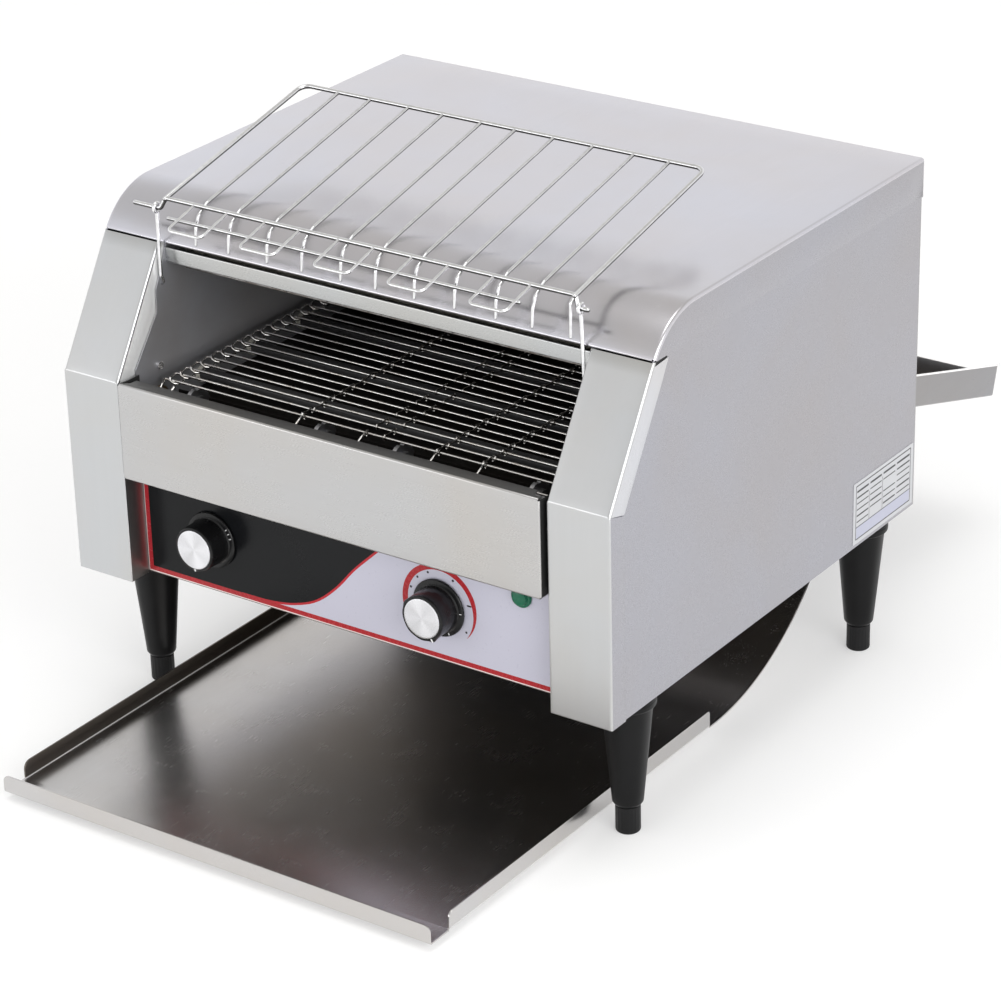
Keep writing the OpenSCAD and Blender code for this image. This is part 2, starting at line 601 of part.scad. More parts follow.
// ---------- rack ----------
module rack_link() {
    r = 1.4;
    x = 181;
    // eye round the rack's stub
    difference() {
        xcyl(x - r, x + r, 4.7, pivot_y, pivot_z);
        xcyl(x - 3, x + 3, 1.78, pivot_y, pivot_z);
    }
    wire([x, pivot_y - 0.3, pivot_z - 3.2], [x, 51.55, 221.5], r);
    wire([x, 51.55, 222.7], [x, hook_y, hook_z], r);
    // hook through the cavity wall
    xcyl(x - 1.2, x + 8, 1.5, hook_y, hook_z);
}
module rack_link_right() { color([0.9, 0.9, 0.9]) place() rack_link(); }
module rack_link_left() { color([0.9, 0.9, 0.9]) place() mirror([1, 0, 0]) rack_link(); }
wire_x = [-140.7, -111.4, -77.4, -47, -13.5, 16, 48.6, 81.8, 115.4, 144.7];
module wire_rack() {
    c = 8;
    color([0.9, 0.9, 0.9]) place() {
        translate([0, bar_y, bar_z]) rotate([rack_tilt, 0, 0]) {
            both() {
                wire([rack_half, -2, 0], [rack_half, rack_len - c, 0], 1.7);
                translate([rack_half - c, rack_len - c, 0]) rotate_extrude(angle = 90) translate([c, 0]) circle(r = 1.7, $fn = 32);
            }
            xcyl(-rack_half + c, rack_half - c, 1.7, rack_len, 0);
            for (x = wire_x) wire([x, 0, 0], [x, rack_len, 0], 1.2);
        }
        // crossbar, its ends bent down to the pivot stubs
        xcyl(-174, 174, 1.7, bar_y, bar_z);
        both() wire([173.4, bar_y, bar_z + 0.8], [176.6, pivot_y, pivot_z - 0.9], 1.7);
        xcyl(-201, -175.6, 1.7, pivot_y, pivot_z);
        xcyl(175.6, 185, 1.7, pivot_y, pivot_z);
        // wire ends in front of the crossbar
        for (x = wire_x) {
            wire([x, bar_y, bar_z], [x, 46.6, 272.6], 1.2);
            wire([x, 46.7, 273.4], [x, 44.9, 256.5], 1.2);
        }
        wire([rack_half - 1, bar_y, bar_z], [rack_half - 1, 49.3, 278.4], 1.2);
        wire([rack_half - 1, 49.4, 279.2], [rack_half - 1, 48.7, 254.3], 1.2);
        // loops round every second wire
        for (i = [0:2:8]) {
            a = wire_x[i] - 6.6;
            b = wire_x[i] + 23.2;
            for (x = [a, b]) wire([x, bar_y, bar_z], [x, 22.9, 274], 1.2);
            xcyl(a - 1, b + 1, 1.2, 22.5, 273.8);
        }
        xcyl(-157, 141, 1.4, 36, 276.6);
    }
}

// ---------- rear chute ----------
module rear_chute() {
    w = chute_half;
    t = 1.2;
    color([0.68, 0.68, 0.69]) place() translate([0, chute_y, chute_z]) rotate([-chute_slope, 0, 0]) {
        box([-w + 6, -64, 0], [w - 6, 3.2, t]);
        // the floor steps down outside the slot
        box([-w + 6, 2, -1.8], [w - 6, 3.2, t]);
        box([-w, 2, -1.8], [w, 225.8, t - 1.8]);
        both() box([w - t, 2, -1.8], [w, 225.8, 24.2]);
        // end wall, lower than the side walls
        box([-w, 224.6, -1.8], [w, 225.8, 16.6]);
        // hems along the top edges
        both() box([w - 2.4, 2, 22.4], [w, 233.04, 24.2]);
    }
    // hooks over the lower edge of the discharge slot
    color([0.68, 0.68, 0.69]) place() both() {
        box([150, body_d - 5.6, 55], [170, body_d - 4.4, 65.9]);
        box([150, body_d - 2, 45], [170, body_d - 0.8, 64.8]);
    }
}

side_panel_left();
side_panel_right();
column_cover_left();
column_cover_right();
hood();
front_plate();
control_panel();
panel_overlay();
header_panel();
rear_panel();
bottom_plate();
cavity_wall_left();
cavity_wall_right();
wall_screws();
insulation_board();
upper_reflector();
lower_reflector();
upper_elements();
lower_elements();
element_holders();
element_guard();
crumb_deck();
return_ramp();
conveyor_belt();
idler_shaft();
drive_shaft();
shaft_bushes();
drive_sprocket();
motor_sprocket();
drive_chain();
gear_motor();
motor_bracket();
fan_frame();
fan_rotor();
mode_knob();
mode_spindle();
mode_switch();
speed_knob();
speed_spindle();
speed_control();
indicator_lens();
indicator_body();
terminal_block();
cable_gland();
rating_plate();
leg_front_left();
leg_front_right();
leg_rear_left();
leg_rear_right();
foot_front_left();
foot_front_right();
foot_rear_left();
foot_rear_right();
leg_studs();
toast_tray();
wire_rack();
rack_link_left();
rack_link_right();
rear_chute();
tray_bumpers();
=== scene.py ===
import json
import math

import bmesh
import bpy
from mathutils import Matrix, Vector


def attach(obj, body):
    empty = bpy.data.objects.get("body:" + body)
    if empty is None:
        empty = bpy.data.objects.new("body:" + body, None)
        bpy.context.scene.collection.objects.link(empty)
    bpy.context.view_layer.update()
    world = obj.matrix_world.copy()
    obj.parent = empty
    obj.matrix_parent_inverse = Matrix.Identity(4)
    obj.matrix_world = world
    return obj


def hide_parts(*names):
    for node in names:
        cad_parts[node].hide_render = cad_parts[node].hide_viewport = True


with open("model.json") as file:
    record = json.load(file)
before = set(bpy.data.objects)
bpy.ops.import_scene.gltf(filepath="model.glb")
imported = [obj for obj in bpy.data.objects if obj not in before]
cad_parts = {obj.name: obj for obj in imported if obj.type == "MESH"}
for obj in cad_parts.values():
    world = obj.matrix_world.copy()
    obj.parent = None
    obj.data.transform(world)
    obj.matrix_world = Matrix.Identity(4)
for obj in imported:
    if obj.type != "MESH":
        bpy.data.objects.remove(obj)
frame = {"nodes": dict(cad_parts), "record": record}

scene = bpy.context.scene
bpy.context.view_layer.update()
NODES = frame["nodes"]
MID = 249.03253112671996


def P(x, y, z):
    """Design millimetres to the row frame in metres."""
    return Vector((x / 1000.0, (y - MID) / 1000.0, (z + 110.5) / 1000.0))


# ------------------------------------------------------------------ camera
cam_data = bpy.data.cameras.new("photo_camera")
cam_data.sensor_fit = "HORIZONTAL"
cam_data.sensor_width = 36.0
cam_data.lens = 127.507
cam_data.clip_start = 0.05
cam_data.clip_end = 200.0
cam = bpy.data.objects.new("photo_camera", cam_data)
scene.collection.objects.link(cam)
cam.matrix_world = Matrix((
    (0.82099711, -0.22687242, 0.52392046, 1.3777514),
    (0.57044708, 0.36379098, -0.73637372, -1.9783001),
    (-0.02353465, 0.90342959, 0.42809006, 1.2649171),
    (0.0, 0.0, 0.0, 1.0),
))
scene.camera = cam


# --------------------------------------------------------------- materials
def _mix(nt, kind, fac, a, b):
    n = nt.nodes.new("ShaderNodeMix")
    n.data_type = "RGBA"
    n.blend_type = kind
    if isinstance(fac, (int, float)):
        n.inputs[0].default_value = fac
    else:
        nt.links.new(fac, n.inputs[0])
    for k, v in ((6, a), (7, b)):
        if isinstance(v, (tuple, list)):
            n.inputs[k].default_value = (*v[:3], 1.0)
        else:
            nt.links.new(v, n.inputs[k])
    return n.outputs[2]


def _range(nt, value, lo, hi, a=0.0, b=1.0):
    n = nt.nodes.new("ShaderNodeMapRange")
    n.inputs["From Min"].default_value = a
    n.inputs["From Max"].default_value = b
    n.inputs["To Min"].default_value = lo
    n.inputs["To Max"].default_value = hi
    nt.links.new(value, n.inputs["Value"])
    return n.outputs["Result"]


def _noise(nt, scale, stretch=(1, 1, 1), detail=3.0, rough=0.5, dist=0.0):
    tc = nt.nodes.new("ShaderNodeTexCoord")
    mp = nt.nodes.new("ShaderNodeMapping")
    mp.inputs["Scale"].default_value = stretch
    nt.links.new(tc.outputs["Object"], mp.inputs["Vector"])
    n = nt.nodes.new("ShaderNodeTexNoise")
    n.inputs["Scale"].default_value = scale
    n.inputs["Detail"].default_value = detail
    n.inputs["Roughness"].default_value = rough
    n.inputs["Distortion"].default_value = dist
    nt.links.new(mp.outputs["Vector"], n.inputs["Vector"])
    return n.outputs["Fac"]


def _bump(nt, height, strength, distance, normal=None):
    n = nt.nodes.new("ShaderNodeBump")
    n.inputs["Strength"].default_value = strength
    n.inputs["Distance"].default_value = distance
    nt.links.new(height, n.inputs["Height"])
    if normal is not None:
        nt.links.new(normal, n.inputs["Normal"])
    return n.outputs["Normal"]


def _start(name):
    m = bpy.data.materials.new(name)
    m.use_nodes = True
    nt = m.node_tree
    nt.nodes.clear()
    out = nt.nodes.new("ShaderNodeOutputMaterial")
    b = nt.nodes.new("ShaderNodeBsdfPrincipled")
    nt.links.new(b.outputs["BSDF"], out.inputs["Surface"])
    return m, nt, b


def steel(name, col, rough=0.26, grain="x", depth=0.000007, streak=0.05, smudge=0.05,
          warm=(1.02, 1.0, 0.975), spread=0.022, metallic=1.0, cool=(0.98, 0.995, 1.02), wavy=0.18):
    """Satin sheet steel: fine grain along one axis, cloudy tone and roughness."""
    m, nt, b = _start(name)
    st = {"x": (0.03, 1, 1), "y": (1, 0.03, 1), "z": (1, 1, 0.03), "n": (1, 1, 1)}[grain]
    fine = _noise(nt, 1500, st, 4, 0.6)
    mid = _noise(nt, 240, st, 3, 0.55)
    cloud = _noise(nt, 7.0, (1, 1, 1), 4, 0.55, 0.4)
    spots = _noise(nt, 38.0, (1, 1, 1), 3, 0.6)
    lo = tuple(c * (1 - smudge) * w for c, w in zip(col, warm))
    hi = tuple(min(1.0, c * (1 + smudge) * w) for c, w in zip(col, cool))
    c1 = _mix(nt, "MIX", _range(nt, cloud, 0, 1, 0.3, 0.7), lo, hi)
    c2 = _mix(nt, "MULTIPLY", 1.0, c1, _mix(nt, "MIX", _range(nt, mid, 0, 1, 0.3, 0.7),
              (1 - streak * 0.35,) * 3, (1.0, 1.0, 1.0)))
    nt.links.new(c2, b.inputs["Base Color"])
    b.inputs["Metallic"].default_value = metallic
    r = nt.nodes.new("ShaderNodeMath")
    r.operation = "ADD"
    nt.links.new(_range(nt, fine, rough - spread, rough + spread, 0.25, 0.75), r.inputs[0])
    nt.links.new(_range(nt, spots, -0.012, 0.022, 0.3, 0.7), r.inputs[1])
    nt.links.new(r.outputs[0], b.inputs["Roughness"])
    n1 = _bump(nt, fine, 0.35, depth)
    n2 = _bump(nt, cloud, wavy, 0.0004, n1)
    nt.links.new(n2, b.inputs["Normal"])
    return m


def wire_metal(name, col, rough=0.16, dark=0.6, scale=260, tint=None, underside_shade=1.0, lo=-0.12, hi=0.26):
    """Drawn and plated wire: bright, with faint draw marks and dull patches, and painted shade darkening the faces that
    point down."""
    m, nt, b = _start(name)
    n = _noise(nt, scale, (1, 1, 1), 4, 0.6)
    fine = _noise(nt, 2200, (1, 1, 1), 2, 0.5)
    tint = tint or tuple(c * dark for c in col)
    c = _mix(nt, "MIX", _range(nt, n, 0, 1, 0.42, 0.72), col, tint)
    # painted shade: faces whose normal points down are darkened
    if underside_shade < 1.0:
        tc = nt.nodes.new("ShaderNodeTexCoord")
        sp = nt.nodes.new("ShaderNodeSeparateXYZ")
        nt.links.new(tc.outputs["Normal"], sp.inputs[0])
        f = _range(nt, sp.outputs["Z"], 0, 1, lo, hi)
        c = _mix(nt, "MULTIPLY", 1.0, c, _mix(nt, "MIX", f, (underside_shade, underside_shade * 0.97, underside_shade * 0.93), (1.0, 1.0, 1.0)))
    nt.links.new(c, b.inputs["Base Color"])
    b.inputs["Metallic"].default_value = 1.0
    nt.links.new(_range(nt, n, rough - 0.04, rough + 0.12, 0.3, 0.75), b.inputs["Roughness"])
    nt.links.new(_bump(nt, fine, 0.3, 0.00002), b.inputs["Normal"])
    return m


def plastic(name, col, rough=0.4, grain=900, depth=0.00003, spec=0.5, coat=0.0, vary=0.15):
    """Moulded plastic with a fine spark-eroded texture and slight handling shine."""
    m, nt, b = _start(name)
    g = _noise(nt, grain, (1, 1, 1), 3, 0.6)
    w = _noise(nt, 22, (1, 1, 1), 4, 0.55)
    lo = tuple(c * (1 - vary) for c in col)
    hi = tuple(min(1.0, c * (1 + vary) + 0.002) for c in col)
    nt.links.new(_mix(nt, "MIX", _range(nt, w, 0, 1, 0.3, 0.7), lo, hi), b.inputs["Base Color"])
    nt.links.new(_range(nt, w, rough - 0.07, rough + 0.09, 0.3, 0.7), b.inputs["Roughness"])
    b.inputs["Specular IOR Level"].default_value = spec
    if coat:
        b.inputs["Coat Weight"].default_value = coat
        b.inputs["Coat Roughness"].default_value = 0.12
    nt.links.new(_bump(nt, g, 0.4, depth), b.inputs["Normal"])
    return m


def film(name, col, rough=0.25, vary=0.03, spec=0.5, peel=0.12):
    """Printed polyester film: even ink, faint orange peel in the lacquer."""
    m, nt, b = _start(name)
    w = _noise(nt, 14, (1, 1, 1), 3, 0.5)
    g = _noise(nt, 420, (1, 1, 1), 2, 0.5)
    lo = tuple(c * (1 - vary) for c in col)
    hi = tuple(min(1.0, c * (1 + vary)) for c in col)
    nt.links.new(_mix(nt, "MIX", _range(nt, w, 0, 1, 0.3, 0.7), lo, hi), b.inputs["Base Color"])
    nt.links.new(_range(nt, g, rough - 0.03, rough + 0.05, 0.3, 0.7), b.inputs["Roughness"])
    b.inputs["Specular IOR Level"].default_value = spec
    nt.links.new(_bump(nt, g, peel, 0.00004), b.inputs["Normal"])
    return m


def cap_metal(name):
    """Turned knob cap: circular lay, so its highlights fan out from the centre; the base colour also carries painted
    highlights as bright and dark sectors round the centre.
    """
    m, nt, b = _start(name)
    tc = nt.nodes.new("ShaderNodeTexCoord")
    mp = nt.nodes.new("ShaderNodeMapping")
    mp.inputs["Rotation"].default_value = (math.radians(90), 0, 0)
    nt.links.new(tc.outputs["Object"], mp.inputs["Vector"])
    g = nt.nodes.new("ShaderNodeTexGradient")
    g.gradient_type = "RADIAL"
    nt.links.new(mp.outputs["Vector"], g.inputs["Vector"])
    # painted highlight: base colour alternates bright and dark sectors round the cap's centre
    ramp = nt.nodes.new("ShaderNodeValToRGB")
    ramp.color_ramp.interpolation = "B_SPLINE"
    els = ramp.color_ramp.elements
    els[0].position, els[0].color = 0.0, (0.80, 0.80, 0.83, 1)
    els[1].position, els[1].color = 1.0, (0.80, 0.80, 0.83, 1)
    for p, v in ((0.10, 0.68), (0.20, 0.97), (0.32, 0.62), (0.45, 0.93), (0.57, 0.66), (0.69, 0.98), (0.82, 0.62), (0.93, 0.80)):
        e = els.new(p)
        e.color = (v, v, v * 1.03, 1)
    nt.links.new(g.outputs["Fac"], ramp.inputs["Fac"])
    fine = _noise(nt, 1600, (1, 1, 1), 3, 0.6)
    nt.links.new(_mix(nt, "MULTIPLY", 0.25, ramp.outputs["Color"], _mix(nt, "MIX", fine, (0.8, 0.8, 0.8), (1, 1, 1))),
                 b.inputs["Base Color"])
    b.inputs["Metallic"].default_value = 1.0
    b.inputs["Anisotropic"].default_value = 0.7
    tg = nt.nodes.new("ShaderNodeTangent")
    tg.direction_type = "RADIAL"
    tg.axis = "Y"
    nt.links.new(tg.outputs["Tangent"], b.inputs["Tangent"])
    nt.links.new(_range(nt, fine, 0.22, 0.34, 0.3, 0.7), b.inputs["Roughness"])
    nt.links.new(_bump(nt, fine, 0.2, 0.00002), b.inputs["Normal"])
    return m


M = {}
M["hood"] = steel("satin_hood", (0.645, 0.635, 0.672), 0.24, "y", smudge=0.02, streak=0.03)
# painted shade: darker copy of the satin steel for side-facing faces (side panels, hood side flanges, upright outer
# returns of the columns)
M["side"] = steel("satin_side_shaded", (0.425, 0.42, 0.45), 0.27, "x", smudge=0.025)
M["column"] = steel("satin_column", (0.575, 0.578, 0.575), 0.30, "z", smudge=0.02, streak=0.03)
M["plate"] = steel("satin_front_plate", (0.54, 0.533, 0.525), 0.28, "x", smudge=0.02, streak=0.03)
M["header"] = steel("satin_header", (0.50, 0.505, 0.50), 0.27, "x", smudge=0.02)
M["dull"] = steel("mill_steel", (0.42, 0.42, 0.43), 0.36, "x", smudge=0.10, depth=0.00002, spread=0.04)
M["cavity"] = steel("heat_toned_wall", (0.34, 0.34, 0.36), 0.38, "y", smudge=0.12, warm=(1.04, 1.0, 0.94), metallic=0.55)
# near-black copy of the steel for the lower reflector and crumb deck
M["near_black"] = steel("near_black_deck", (0.028, 0.026, 0.024), 0.5, "x", smudge=0.25, warm=(1.15, 1.0, 0.85), metallic=0.7)
M["reflector"] = steel("heat_toned_reflector", (0.30, 0.285, 0.27), 0.34, "x", smudge=0.2, warm=(1.1, 1.0, 0.84))
M["tray"] = steel("bright_tray", (0.60, 0.583, 0.57), 0.25, "y", smudge=0.025, wavy=0.04)
# painted highlight: lighter, half-metallic copy of the tray steel on the fillet where wall meets floor
M["tray_fold"] = steel("painted_highlight_tray_fold", (0.66, 0.65, 0.64), 0.30, "y", smudge=0.02, streak=0.02, metallic=0.5)
# painted shade: dark copy of the steel for the left tray wall and the body's bottom plate
M["tray_wall"] = steel("painted_shade_tray_wall", (0.15, 0.135, 0.12), 0.34, "y", smudge=0.10, warm=(1.08, 1.0, 0.9))
# painted highlight: near-white, little metallic copy of the steel for the inner return along the slope
M["return"] = steel("painted_highlight_return", (0.97, 0.97, 0.98), 0.14, "z", smudge=0.03, streak=0.03, metallic=0.3)
# painted shade: dark copy of the steel for the upright inner return
M["return_low"] = steel("painted_shade_return", (0.34, 0.33, 0.32), 0.38, "z", smudge=0.12, warm=(1.06, 1.0, 0.94))
# painted highlight: lighter copy of the column steel for the outer return along the slope
M["return_out"] = steel("painted_highlight_outer_return", (0.66, 0.66, 0.68), 0.28, "z", smudge=0.02, streak=0.03)
M["flange"] = steel("shaded_flange", (0.17, 0.168, 0.165), 0.38, "x", smudge=0.05, metallic=0.6)
# painted shadow: near-black, non-metallic copy put on the front plate's side returns
M["gap"] = steel("painted_shadow_return", (0.012, 0.012, 0.012), 0.5, "z", smudge=0.1, metallic=0.0)
M["chute"] = steel("satin_chute", (0.34, 0.335, 0.345), 0.29, "y", smudge=0.03)
# darker copy of the chute steel for the pan's inner face
M["chute_in"] = steel("dark_chute_inside", (0.19, 0.175, 0.16), 0.33, "y", smudge=0.10, warm=(1.06, 1.0, 0.92))
# painted highlight: near-white, little metallic copy of the steel for the chute's hems and end-wall top
M["hem"] = steel("painted_highlight_hem", (0.96, 0.96, 0.96), 0.28, "y", smudge=0.01, streak=0.02, metallic=0.15)
# rack wire with painted shade on its underside
M["chrome"] = wire_metal("plated_rack_wire", (0.80, 0.80, 0.81), 0.13, 0.82, underside_shade=0.12, lo=0.02, hi=0.30)
# lit copy of the rack wire, a little lighter and without the painted underside shade, for tails, loops and links
M["chrome_up"] = wire_metal("plated_wire_unshaded_copy", (0.84, 0.84, 0.85), 0.13, 0.86)
# belt wire with painted shade on its underside
M["belt"] = wire_metal("belt_wire", (0.90, 0.89, 0.87), 0.20, 0.55, 150, (0.66, 0.61, 0.56), underside_shade=0.25)
M["guard"] = wire_metal("guard_wire", (0.30, 0.29, 0.28), 0.3, 0.6, 150, (0.16, 0.13, 0.11))
M["element"] = wire_metal("oxidised_sheath", (0.13, 0.13, 0.13), 0.42, 0.6, 120, (0.08, 0.07, 0.06))
M["screw"] = wire_metal("plated_screw", (0.85, 0.85, 0.86), 0.2, 0.8)
M["zinc"] = wire_metal("zinc_plate", (0.56, 0.57, 0.60), 0.3, 0.8, 90)
M["chain"] = wire_metal("oiled_chain", (0.20, 0.195, 0.19), 0.35, 0.6, 300)
M["bronze"] = wire_metal("sintered_bronze", (0.42, 0.30, 0.16), 0.38, 0.75, 700)
M["foil"] = film("rating_foil", (0.52, 0.525, 0.545), 0.36, 0.03)
M["rule"] = film("rating_rule", (0.022, 0.022, 0.028), 0.4)
M["ceramic"] = plastic("ceramic_bush", (0.72, 0.69, 0.62), 0.55, 500, 0.00006, 0.4)
M["board"] = plastic("insulation_board", (0.66, 0.62, 0.54), 0.85, 160, 0.0003, 0.2)
M["quartz"] = plastic("frosted_quartz", (0.06, 0.06, 0.062), 0.34, 300, 0.00002, 0.3)
M["motor"] = plastic("motor_paint", (0.10, 0.10, 0.105), 0.42, 260, 0.00005)
M["black"] = plastic("black_plastic", (0.014, 0.014, 0.015), 0.42, 800, spec=0.35)
M["leg"] = plastic("leg_plastic", (0.004, 0.004, 0.0043), 0.34, 620, 0.00004, 0.17)
M["foot"] = plastic("foot_plastic", (0.005, 0.005, 0.0055), 0.5, 620, 0.00006, 0.25)
M["knob"] = plastic("knob_black", (0.005, 0.005, 0.0055), 0.24, 1100, 0.000015, 0.3, 0.06)
M["switch"] = plastic("switch_grey", (0.09, 0.09, 0.095), 0.5)
M["terminal"] = plastic("terminal_white", (0.66, 0.66, 0.62), 0.45)
M["rubber"] = plastic("bumper_rubber", (0.02, 0.02, 0.02), 0.7, 500, 0.00008, 0.3)
M["lens"] = plastic("green_lens", (0.002, 0.125, 0.062), 0.26, 300, 0.00001, 0.35, 0.08, 0.1)
M["band"] = film("rating_band", (0.44, 0.45, 0.55), 0.36)
# white of the knob pointers, also used for painted highlights on the knob skirts
M["mark"] = film("white_pointer_and_glint", (0.85, 0.85, 0.85), 0.4)
M["ink_black"] = film("ink_black", (0.0065, 0.007, 0.008), 0.22, spec=0.17)
M["ink_silver"] = film("ink_silver", (0.540, 0.534, 0.624), 0.30, vary=0.015, spec=0.35, peel=0.04)
M["ink_red"] = film("ink_red", (0.46, 0.022, 0.032), 0.24, spec=0.25)
M["ink_deep"] = film("ink_deep_red", (0.40, 0.024, 0.030), 0.26, spec=0.25)
M["ink_pink"] = film("ink_pale", (0.80, 0.66, 0.64), 0.25)
M["ink_dot"] = film("ink_dot", (0.02, 0.015, 0.02), 0.3, spec=0.3)
M["cap"] = cap_metal("turned_cap")

SLOT_MAT = {
    "satin_steel": "side", "column_steel": "column", "dull_steel": "dull", "cavity_steel": "cavity",
    "tray_steel": "tray", "chrome_wire": "chrome", "belt_wire": "belt", "element_sheath": "element",
    "quartz": "quartz", "ceramic_white": "ceramic", "board": "board", "bronze": "bronze",
    "chain_steel": "chain", "motor_grey": "motor", "black_plastic": "black", "leg_plastic": "leg",
    "knob_black": "knob", "overlay_print": "ink_silver", "green_lens": "lens", "switch_grey": "switch",
    "terminal_white": "terminal", "zinc": "zinc", "bumper_rubber": "rubber", "plate_foil": "foil",
}
OWN_MAT = {
    "hood": "hood", "front_plate": "plate", "header_panel": "header", "element_guard": "guard",
    "upper_reflector": "reflector", "wall_screws": "screw", "rear_chute": "chute",
    # the bottom plate takes the dark tray-wall copy (painted shade); the lower reflector and crumb deck take a
    # near-black copy
    "return_ramp": "dull", "lower_reflector": "near_black", "crumb_deck": "near_black", "bottom_plate": "tray_wall",
}
for sub in frame["record"]["subparts"]:
    ob = NODES[sub["node"]]
    ob.data.materials.clear()
    ob.data.materials.append(M[OWN_MAT.get(sub["node"], SLOT_MAT[sub["material_slot"]])])


# -------------------------------------------------------------- mesh tools
def rounded(points, radius, n=5):
    """An open polyline with each inner corner turned into an arc."""
    pts = [Vector(p) for p in points]
    out = []
    for i, p in enumerate(pts):
        if i in (0, len(pts) - 1):
            out.append(p.copy())
            continue
        r = radius[i] if isinstance(radius, (list, tuple)) else radius
        u, v = pts[i - 1] - p, pts[i + 1] - p
        lu, lv = u.length, v.length
        u.normalize()
        v.normalize()
        ang = u.angle(v)
        if r <= 0 or ang > math.pi - 0.02:
            out.append(p.copy())
            continue
        t = min(r / math.tan(ang / 2), lu * 0.48, lv * 0.48)
        rr = t * math.tan(ang / 2)
        c = p + (u + v).normalized() * (rr / math.sin(ang / 2))
        a0, a1 = p + u * t - c, p + v * t - c
        th = a0.angle(a1)
        for k in range(n + 1):
            s = k / n
            out.append(c + (a0 * math.sin((1 - s) * th) + a1 * math.sin(s * th)) / math.sin(th))
    return out


class Build:
    """Gathers faces in design millimetres, and turns them into one object."""

    def __init__(self):
        self.v, self.f, self.m = [], [], []

    def face(self, idx, mi=0):
        self.f.append(tuple(idx))
        self.m.append(mi)

    def add(self, pts):
        n = len(self.v)
        self.v.extend(Vector(p) for p in pts)
        return list(range(n, n + len(pts)))

    def grid(self, rows, mi=0, close=False):
        ids = [self.add(r) for r in rows]
        for a, b in zip(ids, ids[1:]):
            k = len(a)
            for j in range(k if close else k - 1):
                self.face((a[j], a[(j + 1) % k], b[(j + 1) % k], b[j]), mi[j] if isinstance(mi, (list, tuple)) else mi)
        return ids

    def tube(self, path, r, sides=10, closed=False, mi=0, ends="dome", up=None):
        pts = [Vector(p) for p in path]
        clean = [pts[0]]
        for p in pts[1:]:
            if (p - clean[-1]).length > 1e-4:
                clean.append(p)
        pts = clean
        if closed and (pts[0] - pts[-1]).length < 1e-3:
            pts.pop()
        n = len(pts)
        tan = []
        for i in range(n):
            a = pts[(i - 1) % n] if (closed or i > 0) else pts[i]
            b = pts[(i + 1) % n] if (closed or i < n - 1) else pts[i]
            tan.append((b - a).normalized())
        ref = Vector(up) if up is not None else (Vector((0, 0, 1)) if abs(tan[0].z) < 0.9 else Vector((1, 0, 0)))
        nrm = (ref - tan[0] * ref.dot(tan[0])).normalized()
        rings = []
        first = nrm.copy()
        for i in range(n):
            if i:
                q = tan[i - 1].rotation_difference(tan[i])
                nrm = q @ nrm
                nrm = (nrm - tan[i] * nrm.dot(tan[i])).normalized()
            rings.append((pts[i], tan[i], nrm.copy(), r[i] if isinstance(r, (list, tuple)) else r))
        del first

        def ring(c, t, u, rad):
            w = t.cross(u)
            return [c + (u * math.cos(2 * math.pi * k / sides) + w * math.sin(2 * math.pi * k / sides)) * rad
                    for k in range(sides)]

        rows = []
        if not closed and ends == "dome":
            c, t, u, rad = rings[0]
            for a in (75, 45, 18):
                rows.append(ring(c - t * rad * math.sin(math.radians(a)) * 0.8, t, u, rad * math.cos(math.radians(a))))
        rows.extend(ring(*g) for g in rings)
        if not closed and ends == "dome":
            c, t, u, rad = rings[-1]
            for a in (18, 45, 75):
                rows.append(ring(c + t * rad * math.sin(math.radians(a)) * 0.8, t, u, rad * math.cos(math.radians(a))))
        if closed:
            rows.append(rows[0])
        ids = [self.add(q) for q in (rows[:-1] if closed else rows)]
        if closed:
            ids.append(ids[0])
        def pick(ring_ids):
            return mi(sum((self.v[q] for q in ring_ids), Vector()) / len(ring_ids)) if callable(mi) else mi

        for a, b in zip(ids, ids[1:]):
            q = pick(a)
            for j in range(sides):
                self.face((a[j], a[(j + 1) % sides], b[(j + 1) % sides], b[j]), q)
        if not closed:
            self.face(tuple(reversed(ids[0])), pick(ids[0]))
            self.face(tuple(ids[-1]), pick(ids[-1]))

    def lathe(self, profile, centre, axis="y", segs=64, mi=0, wob=None, cap=True, sign=-1):
        """profile: (radius, along axis) from the outer end to the inner one."""
        rows = []
        for r, h in profile:
            row = []
            for k in range(segs):
                a = 2 * math.pi * k / segs
                rr = r if wob is None else wob(r, h, a)
                if axis == "y":
                    row.append((centre[0] + rr * math.cos(a), h, centre[1] + rr * math.sin(a)))
                elif axis == "z":
                    row.append((centre[0] + rr * math.cos(a), centre[1] + rr * math.sin(a), h))
                else:
                    row.append((h, centre[0] + rr * math.cos(a), centre[1] + rr * math.sin(a)))
            rows.append(row)
        mis = mi if isinstance(mi, (list, tuple)) else [mi] * (len(rows) - 1)
        ids = [self.add(q) for q in rows]
        for (a, b), q in zip(zip(ids, ids[1:]), mis):
            for j in range(segs):
                self.face((a[j], a[(j + 1) % segs], b[(j + 1) % segs], b[j]), q)
        if cap:
            self.face(tuple(ids[0]), mis[0])
            self.face(tuple(reversed(ids[-1])), mis[-1])

    def slab(self, poly, put, t0, t1, mi=0):
        """A flat polygon (2D points), made solid between t0 and t1. put(u, v, t) gives the place."""
        a = self.add([put(u, v, t0) for u, v in poly])
        b = self.add([put(u, v, t1) for u, v in poly])
        k = len(poly)
        self.face(tuple(a), mi)
        self.face(tuple(reversed(b)), mi)
        for j in range(k):
            self.face((a[j], a[(j + 1) % k], b[(j + 1) % k], b[j]), mi)

